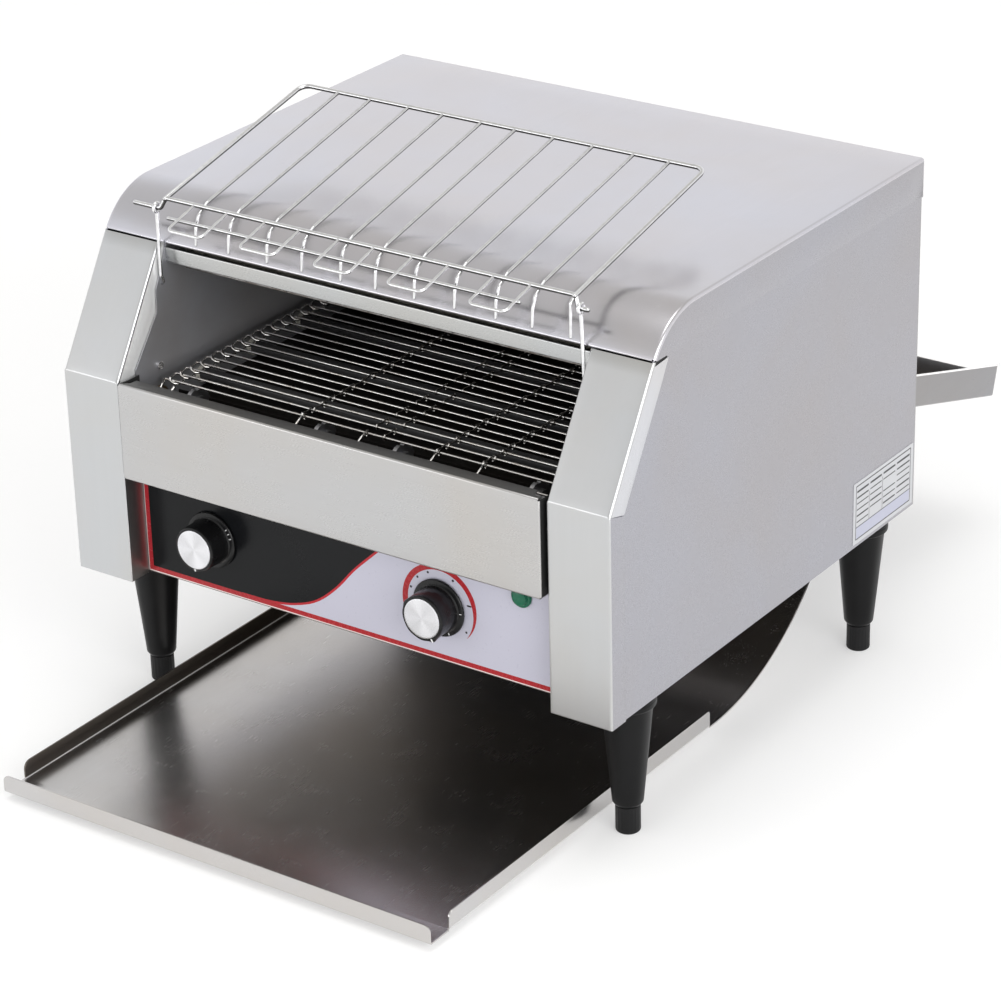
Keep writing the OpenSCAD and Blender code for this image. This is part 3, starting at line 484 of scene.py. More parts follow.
    def strip(self, left, right, put, t0, t1, mi=0):
        """A flat band between two edges with the same number of points, made solid."""
        ids = [[self.add([put(*p, t)]) [0] for p in e] for e in (left, right) for t in (t0, t1)]
        l0, l1, r0, r1 = ids
        for j in range(len(left) - 1):
            self.face((l0[j], l0[j + 1], r0[j + 1], r0[j]), mi)
            self.face((l1[j], r1[j], r1[j + 1], l1[j + 1]), mi)
            self.face((l0[j], l1[j], l1[j + 1], l0[j + 1]), mi)
            self.face((r0[j], r0[j + 1], r1[j + 1], r1[j]), mi)
        self.face((l0[0], r0[0], r1[0], l1[0]), mi)
        self.face((l0[-1], l1[-1], r1[-1], r0[-1]), mi)

    def box(self, a, b, mi=0):
        x0, y0, z0 = a
        x1, y1, z1 = b
        i = self.add([(x0, y0, z0), (x1, y0, z0), (x1, y1, z0), (x0, y1, z0), (x0, y0, z1), (x1, y0, z1), (x1, y1, z1), (x0, y1, z1)])
        for q in ((0, 3, 2, 1), (4, 5, 6, 7), (0, 1, 5, 4), (1, 2, 6, 5), (2, 3, 7, 6), (3, 0, 4, 7)):
            self.face([i[k] for k in q], mi)

    def make(self, name, mats, body, slot=None, replaces=(), weld=0.004, solid=0.0, inner=0, ref=None, bevel=0.0,
             angle=32, origin=None, recalc=True, bevel_angle=40, smooth=True):
        me = bpy.data.meshes.new(name)
        o = Vector(origin) if origin is not None else None
        pts = [P(*v) for v in self.v]
        if o is not None:
            pts = [p - P(*o) for p in pts]
        me.from_pydata([tuple(p) for p in pts], [], self.f)
        for m in mats:
            me.materials.append(M[m] if isinstance(m, str) else m)
        me.polygons.foreach_set("material_index", self.m)
        bm = bmesh.new()
        bm.from_mesh(me)
        if weld:
            bmesh.ops.remove_doubles(bm, verts=bm.verts, dist=weld / 1000.0)
            bmesh.ops.dissolve_degenerate(bm, dist=1e-6, edges=bm.edges)
        if recalc:
            bmesh.ops.recalc_face_normals(bm, faces=bm.faces)
        if ref is not None:
            c = P(*ref)
            if o is not None:
                c = c - P(*o)
            s = sum((f.calc_center_median() - c).dot(f.normal) * f.calc_area() for f in bm.faces)
            if s < 0:
                bmesh.ops.reverse_faces(bm, faces=bm.faces)
        bm.to_mesh(me)
        bm.free()
        ob = bpy.data.objects.new(name, me)
        scene.collection.objects.link(ob)
        if o is not None:
            ob.location = P(*o)
        if solid:
            md = ob.modifiers.new("thick", "SOLIDIFY")
            md.thickness = solid / 1000.0
            md.offset = -1.0
            md.use_even_offset = True
            md.thickness_clamp = 0.0
            md.material_offset = inner
        if bevel:
            md = ob.modifiers.new("edge", "BEVEL")
            md.width = bevel / 1000.0
            md.segments = 2
            md.limit_method = "ANGLE"
            md.angle_limit = math.radians(bevel_angle)
            md.use_clamp_overlap = True
        if solid or bevel:
            bake_mods(ob)
        if smooth:
            ob.data.shade_smooth()
            ob.data.set_sharp_from_angle(angle=math.radians(angle))
        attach(ob, body)
        if replaces:
            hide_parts(*replaces)
        return ob


def bake_mods(ob):
    bpy.context.view_layer.update()
    dg = bpy.context.evaluated_depsgraph_get()
    me = bpy.data.meshes.new_from_object(ob.evaluated_get(dg))
    ob.modifiers.clear()
    old = ob.data
    ob.data = me
    bpy.data.meshes.remove(old)


# ----------------------------------------------------------- column covers
FOLD = Vector((0.0, 157.7))
TOP = Vector((54.0, 247.3))
EDIR = (TOP - FOLD).normalized()
SLEN = (TOP - FOLD).length
NIN = Vector((EDIR.y, -EDIR.x))
TH = math.atan2(EDIR.x, EDIR.y)


def column_cover(s, node):
    r = 2.3
    R = 3.2
    t = R * math.tan(TH / 2)
    c = Vector((R, FOLD.y - t))
    st = []
    for z in (0.0, 1.0, 20, 50, 80, 110, 135, 148):
        st.append(("u", Vector((0, z)), Vector((1, 0)), z))
    for k in range(7):
        a = TH * k / 6
        st.append(("f", c + Vector((-math.cos(a), math.sin(a))) * R, Vector((math.cos(a), -math.sin(a))), k))
    for l in (6.0, 12.9, 26.0, 42.0, 57.5, 72.3, 84.0, 94.3):
        st.append(("s", FOLD + EDIR * l, NIN.copy(), l))
    st.append(("t", TOP.copy(), Vector((1.0 / EDIR.y, 0.0)) * 1.0, SLEN))
    rear_in_s = [(0.0, Vector((19.5, 154))), (12.9, Vector((19.5, 161))), (57.5, Vector((47, 196.5))), (72.3, Vector((47.5, 213.5))),
                 (94.3, Vector((59.3, 232))), (104.8, Vector((60.5, 246)))]

    def rin(kind, f, n, l):
        if kind == "u":
            return Vector((20, min(l, 150)))
        if kind == "f":
            return Vector((20, 150)) + (Vector((19.5, 157.6)) - Vector((20, 150))) * (l / 6)
        if kind == "t":
            return Vector((61, 247.3))
        for (l0, p0), (l1, p1) in zip(rear_in_s, rear_in_s[1:]):
            if l0 <= l <= l1:
                return p0 + (p1 - p0) * ((l - l0) / (l1 - l0))
        return rear_in_s[-1][1]

    D = 17.0
    mz = FOLD.y - 0.2783 * D

    def rout(kind, f, n, l):
        if kind == "u":
            return Vector((D, min(l, mz - 0.4)))
        if kind == "f":
            return Vector((D, mz - 0.4)) if l <= 3 else Vector((D + 0.3, mz + 0.5))
        if kind == "t":
            return Vector((71.9, 245.9))
        return f + n * D

    arc = [k * 15 for k in range(7)]
    xi, xo = 184.0, 234.0
    cols = [xi + r, xi + 9, 209, xo - 9, xo - r]
    b = Build()
    rows_a, rows_o = [], []
    for kind, f, n, l in st:
        row = []
        r = 1.0 if kind == "u" else (1.0 + 1.3 * l / 6 if kind == "f" else 2.3)
        ri = rin(kind, f, n, l)
        q = f + n * r
        row.append((s * xi, *(ri)))
        row.append((s * xi, *(q + (ri - q) * 0.5)))
        for a in arc[:-1]:
            p = f + n * (r - r * math.sin(math.radians(a)))
            row.append((s * (xi + r - r * math.cos(math.radians(a))), *p))
        for x in cols:
            row.append((s * x, *f))
        for a in reversed(arc[:-1]):
            p = f + n * (r - r * math.sin(math.radians(a)))
            row.append((s * (xo - r + r * math.cos(math.radians(a))), *p))
        rows_a.append(row)
        ro = rout(kind, f, n, l)
        qo = q if kind != "t" else FOLD + EDIR * (SLEN - 1.7) + NIN * r
        rows_o.append([(s * xo, *q), (s * xo, *(q + (ro - q) * 0.02)) if kind != "t" else (s * xo, *qo),
                       (s * xo, *(qo + (ro - qo) * 0.5)), (s * xo, *ro)])
    lo = 8 + 4
    # inner return: dark copy on the upright part (painted shade), near-white copy along the slope (painted highlight)
    b.grid(rows_a[:lo + 1], [4, 4] + [0] * (len(rows_a[0]) - 3))
    b.grid(rows_a[lo:], [1, 1] + [0] * (len(rows_a[0]) - 3))
    # outer return in two parts, with the mitre slit between them; the upright part takes the darker side-steel copy
    # (painted shade), the sloped part a lighter copy (painted highlight)
    cut = 8 + 3
    b.grid(rows_o[:cut + 1], [2, 2, 2])
    b.grid(rows_o[cut + 1:], [3, 3, 3])
    # bottom flange turned in
    b.grid([[(s * x, 0.0 + 0.0, 0.0) for x in cols], [(s * x, 9, 0.0) for x in cols], [(s * x, 17, 0.0) for x in cols]])
    return b.make(node + "_sheet", ["column", "return", "side", "return_out", "return_low"], "body", "column_steel", (node,), solid=0.8, ref=(s * 209, 30, 120), bevel=0.22)


column_cover(-1, "column_cover_left")
column_cover(1, "column_cover_right")


# painted shadow: thin black strips filling the joint between the hood's side flange and the column return
def joint_shadow_strips():
    b = Build()
    for s in (-1, 1):
        b.box((min(s * 233.03, s * 233.17), 57.0, 244.4), (max(s * 233.03, s * 233.17), 71.2, 247.9))
    b.make("hood_joint_shadow_strips", ["rubber"], "body", "bumper_rubber", smooth=False, weld=0)


joint_shadow_strips()


# -------------------------------------------------------------------- hood
def hood():
    C = Vector((105.1, 217.2))
    R, r, rb = 59.3, 2.6, 2.4
    topz, yend = 276.5, 418.0
    a0 = math.atan2(247.76 - C.y, C.x - 54.28)
    hr = 1.15
    a1 = a0 + (hr + 0.55) / R
    xs = [-(233.98 - r), -170, -85, 0, 85, 170, 233.98 - r]
    arc = [k * 15 for k in range(6)]

    def n_at(a):
        return Vector((math.cos(a), -math.sin(a)))

    def f_at(a):
        return C - n_at(a) * R

    main = [(f_at(a1 + (math.pi / 2 - a1) * k / 30), n_at(a1 + (math.pi / 2 - a1) * k / 30)) for k in range(31)]
    for y in (150, 210, 270, 330, 390, yend - rb):
        main.append((Vector((y, topz)), Vector((0, -1))))
    b = Build()

    def fil(f, n, s, rev):
        out = []
        for a in (reversed(arc) if rev else arc):
            p = f + n * (r - r * math.sin(math.radians(a)))
            out.append((s * (233.98 - r + r * math.cos(math.radians(a))), *p))
        return out

    rows = []
    for f, n in main:
        q = f + n * r
        zb = min(247.5, q.y - 0.02)
        zm = (zb + q.y) / 2
        row = [(-233.98, q.x, zb), (-233.98, q.x, zm)] + fil(f, n, -1, False) + [(x, *f) for x in xs] + \
            fil(f, n, 1, True) + [(233.98, q.x, zm), (233.98, q.x, zb)]
        rows.append(row)
    # the side flanges take the darker side-steel copy (painted shade)
    b.grid(rows, [1, 1] + [0] * (len(rows[0]) - 5) + [1, 1])
    back = []
    cb = Vector((yend - rb, topz - rb))
    for k in range(6):
        a = math.radians(90 - 18 * k)
        out = Vector((math.cos(a), math.sin(a)))
        back.append((cb + out * rb, -out))
    for z in (265, 255, 246.5):
        back.append((Vector((yend, z)), Vector((-1, 0))))
    b.grid([fil(f, n, -1, False) + [(x, *f) for x in xs] + fil(f, n, 1, True) for f, n in back])
    # rolled hem along the front lip
    n = n_at(a1)
    e = Vector((-n.y, n.x))
    lip = f_at(a1)
    c0 = lip + n * hr
    roll = [c0 + n * hr + e * 5.0, c0 + n * hr + e * 2.0]
    for k in range(9):
        ph = math.radians(180 - 22.5 * k)
        roll.append(c0 + n * (-hr * math.cos(ph)) - e * (hr * math.sin(ph)))
    b.grid([[(x, *p) for x in xs] for p in roll])
    return b.make("hood_sheet", ["hood", "side"], "body", "satin_steel", ("hood",), solid=1.0, ref=(0, 240, 180), bevel=0.25, weld=0.02)


hood()


# ------------------------------------------------------------- front plate
def front_plate():
    w, r, rb = 181.0, 1.3, 1.7
    y0, zt, zb = -4.0, 159.8, 85.4
    xs = [-(w - r), -120, -60, 0, 60, 120, w - r]
    arc = [k * 15 for k in range(6)]
    b = Build()
    rows = []
    for z in (zt - rb, zt - 12, 122, zb + 12, zb + rb):
        row = [(-w, 19.8, z), (-w, 8, z)]
        row += [(-(w - r) - r * math.cos(math.radians(a)), y0 + r - r * math.sin(math.radians(a)), z) for a in arc]
        row += [(x, y0, z) for x in xs]
        row += [((w - r) + r * math.cos(math.radians(a)), y0 + r - r * math.sin(math.radians(a)), z) for a in reversed(arc)]
        row += [(w, 8, z), (w, 19.8, z)]
        rows.append(row)
    # the side returns take the near-black copy (painted shadow)
    b.grid(rows, [2, 2] + [0] * (len(rows[0]) - 5) + [2, 2])
    top = [(y0 + rb - rb * math.cos(math.radians(a)), zt - rb + rb * math.sin(math.radians(a))) for a in range(0, 91, 15)]
    top += [(2.0, zt), (8.0, zt)]
    trows = [[(x * (1.0 - 0.9 / w * i if i > 6 else 1.0), y, z) for x in xs] for i, (y, z) in enumerate(top)]
    b.grid(trows[:7])
    b.grid(trows[6:], 1)
    bot = [(y0 + rb - rb * math.cos(math.radians(a)), zb + rb - rb * math.sin(math.radians(a))) for a in range(0, 91, 15)]
    bot += [(8.0, zb), (19.8, zb)]
    b.grid([[(x, y, z) for x in xs] for y, z in bot])
    return b.make("front_plate_pan", ["plate", "flange", "gap"], "body", "column_steel", ("front_plate",), solid=1.0, ref=(0, 12, 122), bevel=0.2, weld=0.02)


front_plate()


# ------------------------------------------------------------ header strip
def header():
    w, y0, zb, zt, r = 182.55, 60.0, 230.3, 242.2, 1.3
    path = [(70, zb), (64, zb), (y0 + r, zb)]
    path += [(y0 + r - r * math.sin(math.radians(a)), zb + r - r * math.cos(math.radians(a))) for a in (22.5, 45, 67.5, 90)]
    path += [(y0, 236.0)]
    path += [(y0 + r - r * math.cos(math.radians(a)), zt - r + r * math.sin(math.radians(a))) for a in (0, 22.5, 45, 67.5, 90)]
    path += [(66, zt), (74, zt)]
    b = Build()
    b.grid([[(x, y, z) for x in (-w, -120, -60, 0, 60, 120, w)] for y, z in path])
    return b.make("header_panel_strip", ["header"], "body", "column_steel", ("header_panel",), solid=0.8, ref=(0, 68, 236), weld=0.02)


header()


# ---------------------------------------------------- printed control strip
def graphics():
    y = 19.8

    def put(u, v, t):
        return (u, y - t, v)

    def smooth(points, n=10):
        pts = [Vector(p) for p in points]
        pts = [pts[0] * 2 - pts[1]] + pts + [pts[-1] * 2 - pts[-2]]
        out = []
        for i in range(1, len(pts) - 2):
            for k in range(n):
                t = k / n
                p0, p1, p2, p3 = pts[i - 1:i + 3]
                out.append(0.5 * ((2 * p1) + (p2 - p0) * t + (2 * p0 - 5 * p1 + 4 * p2 - p3) * t * t
                                  + (3 * p1 - p0 - 3 * p2 + p3) * t ** 3))
        out.append(pts[-2])
        return out

    wave = smooth([(107, 125.6), (73, 108), (46, 90), (25, 70.5), (6, 52.5), (-11, 33.5), (-29, 18.8), (-49, 10.8), (-71, 7.1), (-97, 6.5)])
    # dark field: a strip from the wave's line to the left stripe
    b = Build()
    left = [(-180.4, max(5.8, p.y)) for p in wave]
    b.strip(left, [(p.x, max(5.8, p.y)) for p in wave], put, 0.0, 0.045)
    b.slab([(-180.4, 5.8), (-97, 5.8), (-97, 6.5), (-180.4, 6.5)], put, 0.0, 0.045)
    b.make("print_dark_field", ["ink_black"], "body", "overlay_print", angle=20, smooth=False)
    # red edge of the wave
    b = Build()
    inner, outer = [], []
    for i, p in enumerate(wave):
        a = wave[max(0, i - 1)]
        c = wave[min(len(wave) - 1, i + 1)]
        t = (c - a).normalized()
        nn = Vector((-t.y, t.x))
        wdt = 1.45
        inner.append(tuple(p - nn * 0.25))
        outer.append(tuple(p + nn * wdt))
    inner = [(u, min(125.6, max(4.0, v))) for u, v in inner]
    outer = [(u, min(125.6, max(4.0, v))) for u, v in outer]
    b.strip(inner, outer, put, 0.0, 0.06)
    # frame: left and bottom stripes with a pale keyline
    b.slab([(-183.2, 2.9), (-179.5, 2.9), (-179.5, 125.6), (-183.2, 125.6)], put, 0.0, 0.06)
    b.slab([(-183.2, 2.9), (183.4, 2.9), (183.4, 6.5), (-183.2, 6.5)], put, 0.0, 0.065, 1)
    b.make("print_red_lines", ["ink_red", "ink_deep"], "body", "overlay_print", smooth=False, weld=0)
    b = Build()
    b.slab([(-183.4, 2.1), (183.4, 2.1), (183.4, 2.9), (-183.4, 2.9)], put, 0.0, 0.055)
    b.slab([(-183.75, 2.1), (-183.2, 2.1), (-183.2, 125.6), (-183.75, 125.6)], put, 0.0, 0.055)
    b.make("print_keyline", ["ink_pink"], "body", "overlay_print", smooth=False, weld=0)
    # plain crescent scale round the speed knob
    b = Build()
    cx, cz = 79.7, 43.0
    n = 72
    ro, ri = [], []
    for k in range(n + 1):
        f = k / n
        a = math.radians(212 - (212 + 40) * f)
        th = (4.7 - 0.75 * f / 0.75 if f < 0.75 else 3.95 * max(0.0, (1 - f) / 0.25) ** 0.85) * min(1.0, f * 14 + 0.3)
        mid = 29.1 + 1.1 * math.sin(math.pi * f)
        ro.append((cx + (mid + th / 2) * math.cos(a), cz + (mid + th / 2) * math.sin(a)))
        ri.append((cx + (mid - th / 2 - 0.05) * math.cos(a), cz + (mid - th / 2 - 0.05) * math.sin(a)))
    b.strip(ro, ri, put, 0.0, 0.05)
    b.make("print_scale", ["ink_deep"], "body", "overlay_print", smooth=False, weld=0)
    b = Build()
    for i, a in enumerate((183, 159, 135, 111, 63, 16, -32.5)):
        rr = 26.0
        u, v = cx + rr * math.cos(math.radians(a)), cz + rr * math.sin(math.radians(a))
        s = 0.95
        w = 1.1 if a == 16 else 0.0
        b.slab([(u + s * math.cos(math.radians(q)) + (w if -90 < (q + 180) % 360 - 180 < 90 else -w), v + s * (0.7 if w else 1.0) * math.sin(math.radians(q)))
                for q in range(0, 360, 30)], put, 0.0, 0.05)
    b.make("print_dots", ["ink_dot"], "body", "overlay_print", smooth=False, weld=0)


graphics()


# ------------------------------------------------------------------- knobs
def knob(node, body, cx, dial, point, skirt_glints):
    cz = 43.0
    prof = [(15.05, -1.35), (15.35, -1.72), (16.15, -1.6), (16.75, -1.1), (17.0, -0.2), (17.05, 4), (17.15, 9), (17.25, 14.6),
            (17.5, 15.8), (18.4, 16.6), (20.3, 16.85), (21.1, 17.1), (21.5, 17.7), (21.5, 18.7), (21.1, 19.15), (5.5, 19.15), (5.5, 16.5)]

    def wob(r, h, a):
        rr = r
        if dial:
            if h < 9 and r > 15.2:
                rr += 0.12 * math.cos(8 * a) * min(1.0, h + 2.2)
                for c, top in ((150, 0.9), (-61, 1.5)):
                    d = (a - math.radians(c) + math.pi) % (2 * math.pi) - math.pi
                    rr += top * math.exp(-(math.degrees(d) / 9.0) ** 2) * max(0.0, 1 - max(0.0, h) / 8.5) * min(1.0, (r - 15.2) / 1.2)
        else:
            # fine grip flutes on the plain knob
            if 1.0 < h < 13 and r > 16.9:
                rr += 0.12 * math.cos(48 * a)
        return rr

    full = []
    for (r0, h0), (r1, h1) in zip(prof, prof[1:]):
        steps = 5 if abs(h1 - h0) > 3 and h0 < 15 else 1
        for k in range(steps):
            full.append((r0 + (r1 - r0) * k / steps, h0 + (h1 - h0) * k / steps))
    full.append(prof[-1])
    b = Build()
    b.lathe([(0.5, -1.3), (9, -1.33)] + full, (cx, cz), "y", 192, 0, wob)
    kn = b.make(node + "_grip", ["knob"], body, "knob_black", (node,), angle=28, weld=0.001)
    # turned metal cap set in the front
    c = Build()
    c.lathe([(0.02, -1.92), (4, -1.94), (9, -1.97), (13.6, -2.0), (14.35, -1.97), (14.75, -1.8), (14.9, -1.5), (14.9, -0.9)], (cx, cz), "y", 128)
    c.make(node + "_cap", ["cap"], body, "knob_black", (), angle=40, weld=0.0005, origin=(cx, 0, cz))
    # pointer on the rim, and small white marks on the skirt standing for glints (painted highlights)
    m = Build()
    p = math.radians(point)
    u, v = Vector((math.cos(p), math.sin(p))), Vector((-math.sin(p), math.cos(p)))

    def mark(r0, r1, w0, w1, y0, y1, uu, vv):
        q = []
        for y in (y0, y1):
            for rr, ww, s in ((r0, w0, -1), (r0, w0, 1), (r1, w1, 1), (r1, w1, -1)):
                w = uu * rr + vv * (ww * s)
                q.append((cx + w.x, y, cz + w.y))
        i = m.add(q)
        for fc in ((0, 1, 2, 3), (7, 6, 5, 4), (0, 4, 5, 1), (1, 5, 6, 2), (2, 6, 7, 3), (3, 7, 4, 0)):
            m.face([i[k] for k in fc])

    if dial:
        mark(15.5, 18.0, 0.62, 0.5, -1.80, -0.6, u, v)
    else:
        mark(15.3, 17.1, 0.95, 0.12, -1.78, -0.4, u, v)
    for t in skirt_glints:
        tt = math.radians(t)
        tu, tv = Vector((math.cos(tt), math.sin(tt))), Vector((-math.sin(tt), math.cos(tt)))
        mark(18.7, 20.4, 0.3, 0.3, 16.45, 17.2, tu, tv)
    m.make(node + "_pointer_and_glints", ["mark"], body, "knob_black", (), smooth=False, weld=0)
    return kn


knob("mode_knob", "mode_control", -121.4, False, -90, (38, 28, 17))
knob("speed_knob", "speed_dial", 79.7, True, -61, (2, -62))


def lens():
    b = Build()
    b.lathe([(0.05, 13.85), (2.0, 13.92), (3.4, 14.15), (4.3, 14.5), (5.1, 14.95), (5.7, 15.4), (5.95, 16.2), (6.25, 17.3), (7.0, 17.42),
             (7.6, 17.65), (7.95, 18.15), (8.0, 19.0), (8.0, 19.75)], (149.2, 70.0), "y", 72)
    b.make("indicator_lens_dome", ["lens"], "body", "green_lens", ("indicator_lens",), angle=30, weld=0.001)


lens()


# -------------------------------------------------------------------- belt
def belt():
    rad, y_i, y_d, zc = 15.0, 42.7, 325.4433388230813, 133.0
    pitch = 2 * math.pi * rad / 8
    L = y_d - y_i
    total = 2 * L + 2 * math.pi * rad
    rr = 1.0

    def at(x, s, n):
        s %= total
        if s < L:
            return (x, y_i + s, zc + rad + n)
        s -= L
        if s < math.pi * rad:
            a = s / rad
            return (x, y_d + (rad + n) * math.sin(a), zc + (rad + n) * math.cos(a))
        s -= math.pi * rad
        if s < L:
            return (x, y_d - s, zc - rad - n)
        s -= L
        a = s / rad
        return (x, y_i - (rad + n) * math.sin(a), zc - (rad + n) * math.cos(a))

    b = Build()
    half = 176.4
    for k in range(56):
        s = k * pitch
        path = []
        for e in (-1, 1):
            end = [(half - 12.5, -pitch * 0.48, -1.35), (half - 11.5, -pitch + 0.6, -2.05), (half - 9.5, -pitch - 1.7, -1.3),
                   (half - 7.0, -pitch - 2.05, 0.5), (half - 5.6, -pitch - 0.4, 2.05), (half - 4.2, -pitch * 0.62, 1.4), (half - 1.2, -2.2, 0.25), (half - 0.2, -0.5, 0.0)]
            seg = [(e * x, s + d, n) for x, d, n in end]
            if e == -1:
                path += seg
                path += [(-half + 3, s, 0), (-140, s, 0)]
                path += [(x, s, 0) for x in (-70, 0, 70, 140)]
                path += [(half - 3, s, 0)]
            else:
                path += list(reversed(seg))
        pts = [Vector(at(*p)) for p in path]
        b.tube(rounded(pts, 1.6, 3), rr, 8)
        # short hook links between neighbouring rods
        for x in (-50.2, 4.5 if k % 2 else 21.5, 66.0, 104.8):
            off = 0.9 if k % 2 else -0.9
            hk = [(x + off, s + pitch - 1.2, -1.7), (x + off, s + pitch + 1.55, -1.0), (x + off, s + pitch + 1.4, 1.1), (x + off, s + pitch, 1.9),
                  (x + off, s + pitch * 0.5, 1.1), (x + off, s, 1.9), (x + off, s - 1.4, 1.1), (x + off, s - 1.55, -1.0), (x + off, s + 1.2, -1.7)]
            b.tube(rounded([Vector(at(*p)) for p in hk], 1.2, 3), 0.8, 6)
    b.make("conveyor_belt_wires", ["belt"], "body", "belt_wire", ("conveyor_belt",), angle=50, weld=0)


belt()


# -------------------------------------------------------------------- rack
def rack():
    tilt = math.radians(RACK_TILT)
    by, bz, py, pz = 54.0, 282.6, 52.0, 275.0
    half, ln = 173.6, 165.4

    def loc(x, v, w=0.0):
        return Vector((x, by + v * math.cos(tilt) - w * math.sin(tilt), bz + v * math.sin(tilt) + w * math.cos(tilt)))

    # tails below the crossbar take the lit copy of the wire
    def place(c):
        return 1 if c.z < 280.6 and c.y < 53.4 else 0

    b = Build()
    b.tube(rounded([loc(-half, -1.5), loc(-half, ln), loc(half, ln), loc(half, -1.5)], 8.0, 9), 1.7, 14)
    b.tube(rounded([(-200.9, py, pz), (-177.4, py, pz), (-173.7, by, bz), (173.7, by, bz), (176.9, py, pz), (184.4, py, pz)],
                   [0, 2.6, 2.6, 2.6, 2.6, 0], 6), 1.7, 14)
    for x in WIRE_X:
        b.tube(rounded([loc(x, ln, 0), loc(x, 6), (x, 49.2, 277.6), (x, 45.7, 268.5), (x, 44.9, 257.0)], [0, 5, 5, 14, 0], 6), 1.2, 10, mi=place)
    b.tube(rounded([loc(half - 1, 2), (half - 1, by, bz), (half - 1, 49.3, 278.2), (half - 1, 48.7, 254.3)], 2.4, 5), 1.2, 10, mi=place)
    for i in range(0, 9, 2):
        a, c = WIRE_X[i] - 6.6, WIRE_X[i] + 23.2
        b.tube(rounded([(a, by, bz), (a, 22.7, 273.9), (c, 22.7, 273.9), (c, by, bz)], 4.2, 6), 1.2, 10, mi=1)
    b.tube([(-157, 36, 276.6), (141, 36, 276.6)], 1.4, 12)
    b.make("wire_rack_welded", ["chrome", "chrome_up"], "rack", "chrome_wire", ("wire_rack",), angle=60, weld=0)
    # side links: an eye on the bar and a bent wire down to the body
    for s, node in ((-1, "rack_link_left"), (1, "rack_link_right")):
        x = s * 181.0
        k = Build()
        xe = x - (2.2 if s > 0 else 0.0)
        eye = [(xe, 52 + 3.24 * math.sin(math.radians(a)), 275 + 3.24 * math.cos(math.radians(a))) for a in range(0, 360, 15)]
        k.tube(eye, 1.4, 10, closed=True, up=(1, 0, 0))
        k.tube(rounded([(xe, 51.9, 271.9), (x, 51.6, 223.8), (x, 54.6, 216.5), (s * 189.0, 54.6, 216.5)], [0, 5, 3, 0], 6), 1.4, 12)
        k.make(node + "_wire", ["chrome_up"], "rack_links", "chrome_wire", (node,), angle=60, weld=0)


RACK_TILT = 12.9
WIRE_X = [-140.7, -111.4, -77.4, -47, -13.5, 16, 48.6, 81.8, 115.4, 144.7]
rack()



# -------------------------------------------------------------------- tray
def tray():
    w, zb, zt, y0, R = 186.8, -105.0, -90.8, -148.1, 192.0
    cy, cz = 205.0, 87.0
    r, rb = 1.9, 2.2
    xs = [-(w - r), -120, -60, 0, 60, 120, w - r]
    b = Build()
    path = []
    for dz in (0, 0.4, 1.1, 2.3, 3.6, 5.0):
        edge = w - 5 + math.sqrt(max(0.0, 25 - (5 - dz) ** 2))
        path.append(((y0, zt - dz), (-1, 0), edge))
    path.append(((y0, zb + rb), (-1, 0), w))
    for a in (18, 36, 54, 72, 90):
        t = math.radians(a)
        path.append(((y0 + rb - rb * math.cos(t), zb + rb - rb * math.sin(t)), (-math.cos(t), -math.sin(t)), w))
    front = len(path)
    ys = [-126.6, -126.2, -125.4, -124.1, -122.6, -120.6, -60, 0, 60, 120, 180, 197.7, 198.6, 199.5, 200.0, 200.2]
    for y in [-135] + ys:
        path.append(((y, zb), (0, -1), w))
    for k in range(0, 37):
        a = math.acos((cz + 6) / R) * k / 36
        path.append(((cy + R * math.sin(a), cz - R * math.cos(a)), (math.sin(a), -math.cos(a)), w))
    rows = []
    for (y, z), _, edge in path:
        e = min(edge, w - r) if edge < w - r else w - r
        rows.append([(-edge if edge < w else -w, y, z)] + [(max(-e, min(e, x)), y, z) for x in xs] + [(edge if edge < w else w, y, z)])
    walled = [i for i, ((y, z), _, _) in enumerate(path) if z == zb and -126.61 <= y <= 200.21]
    first, last = walled[0], walled[-1]
    b.grid(rows[:first + 1])
    b.grid(rows[last:])
    b.grid([row[1:-1] for row in rows[first:last + 1]])
    for s in (-1, 1):
        side = []
        for i in walled:
            y = path[i][0][0]
            top = zt
            if y < -120.6:
                top = zt - 6 + math.sqrt(max(0.0, 36 - (-120.6 - y) ** 2))
            if y > 197.7:
                top = zt - 2.5 + math.sqrt(max(0.0, 6.25 - (y - 197.7) ** 2))
            row = [(s * (w - r), y, zb)]
            for a in (15, 30, 45, 60, 75, 90):
                t = math.radians(a)
                row.append((s * (w - r + r * math.sin(t)), y, zb + r - r * math.cos(t)))
            row += [(s * w, y, zb + r + (top - zb - r) * 0.5), (s * w, y, top)]
            side.append(row)
        # fold fillets take the lighter copy (painted highlight); only the left wall takes the dark copy (painted shade)
        b.grid(side, [0, 1, 1, 1, 1, 1, 2, 2] if s < 0 else [0, 1, 1, 1, 1, 1, 0, 0])
    b.make("toast_tray_sheet", ["tray", "tray_fold", "tray_wall"], "tray", "tray_steel", ("toast_tray",), solid=1.2, ref=(0, 60, 40), bevel=0.28, weld=0.02, bevel_angle=55)


tray()


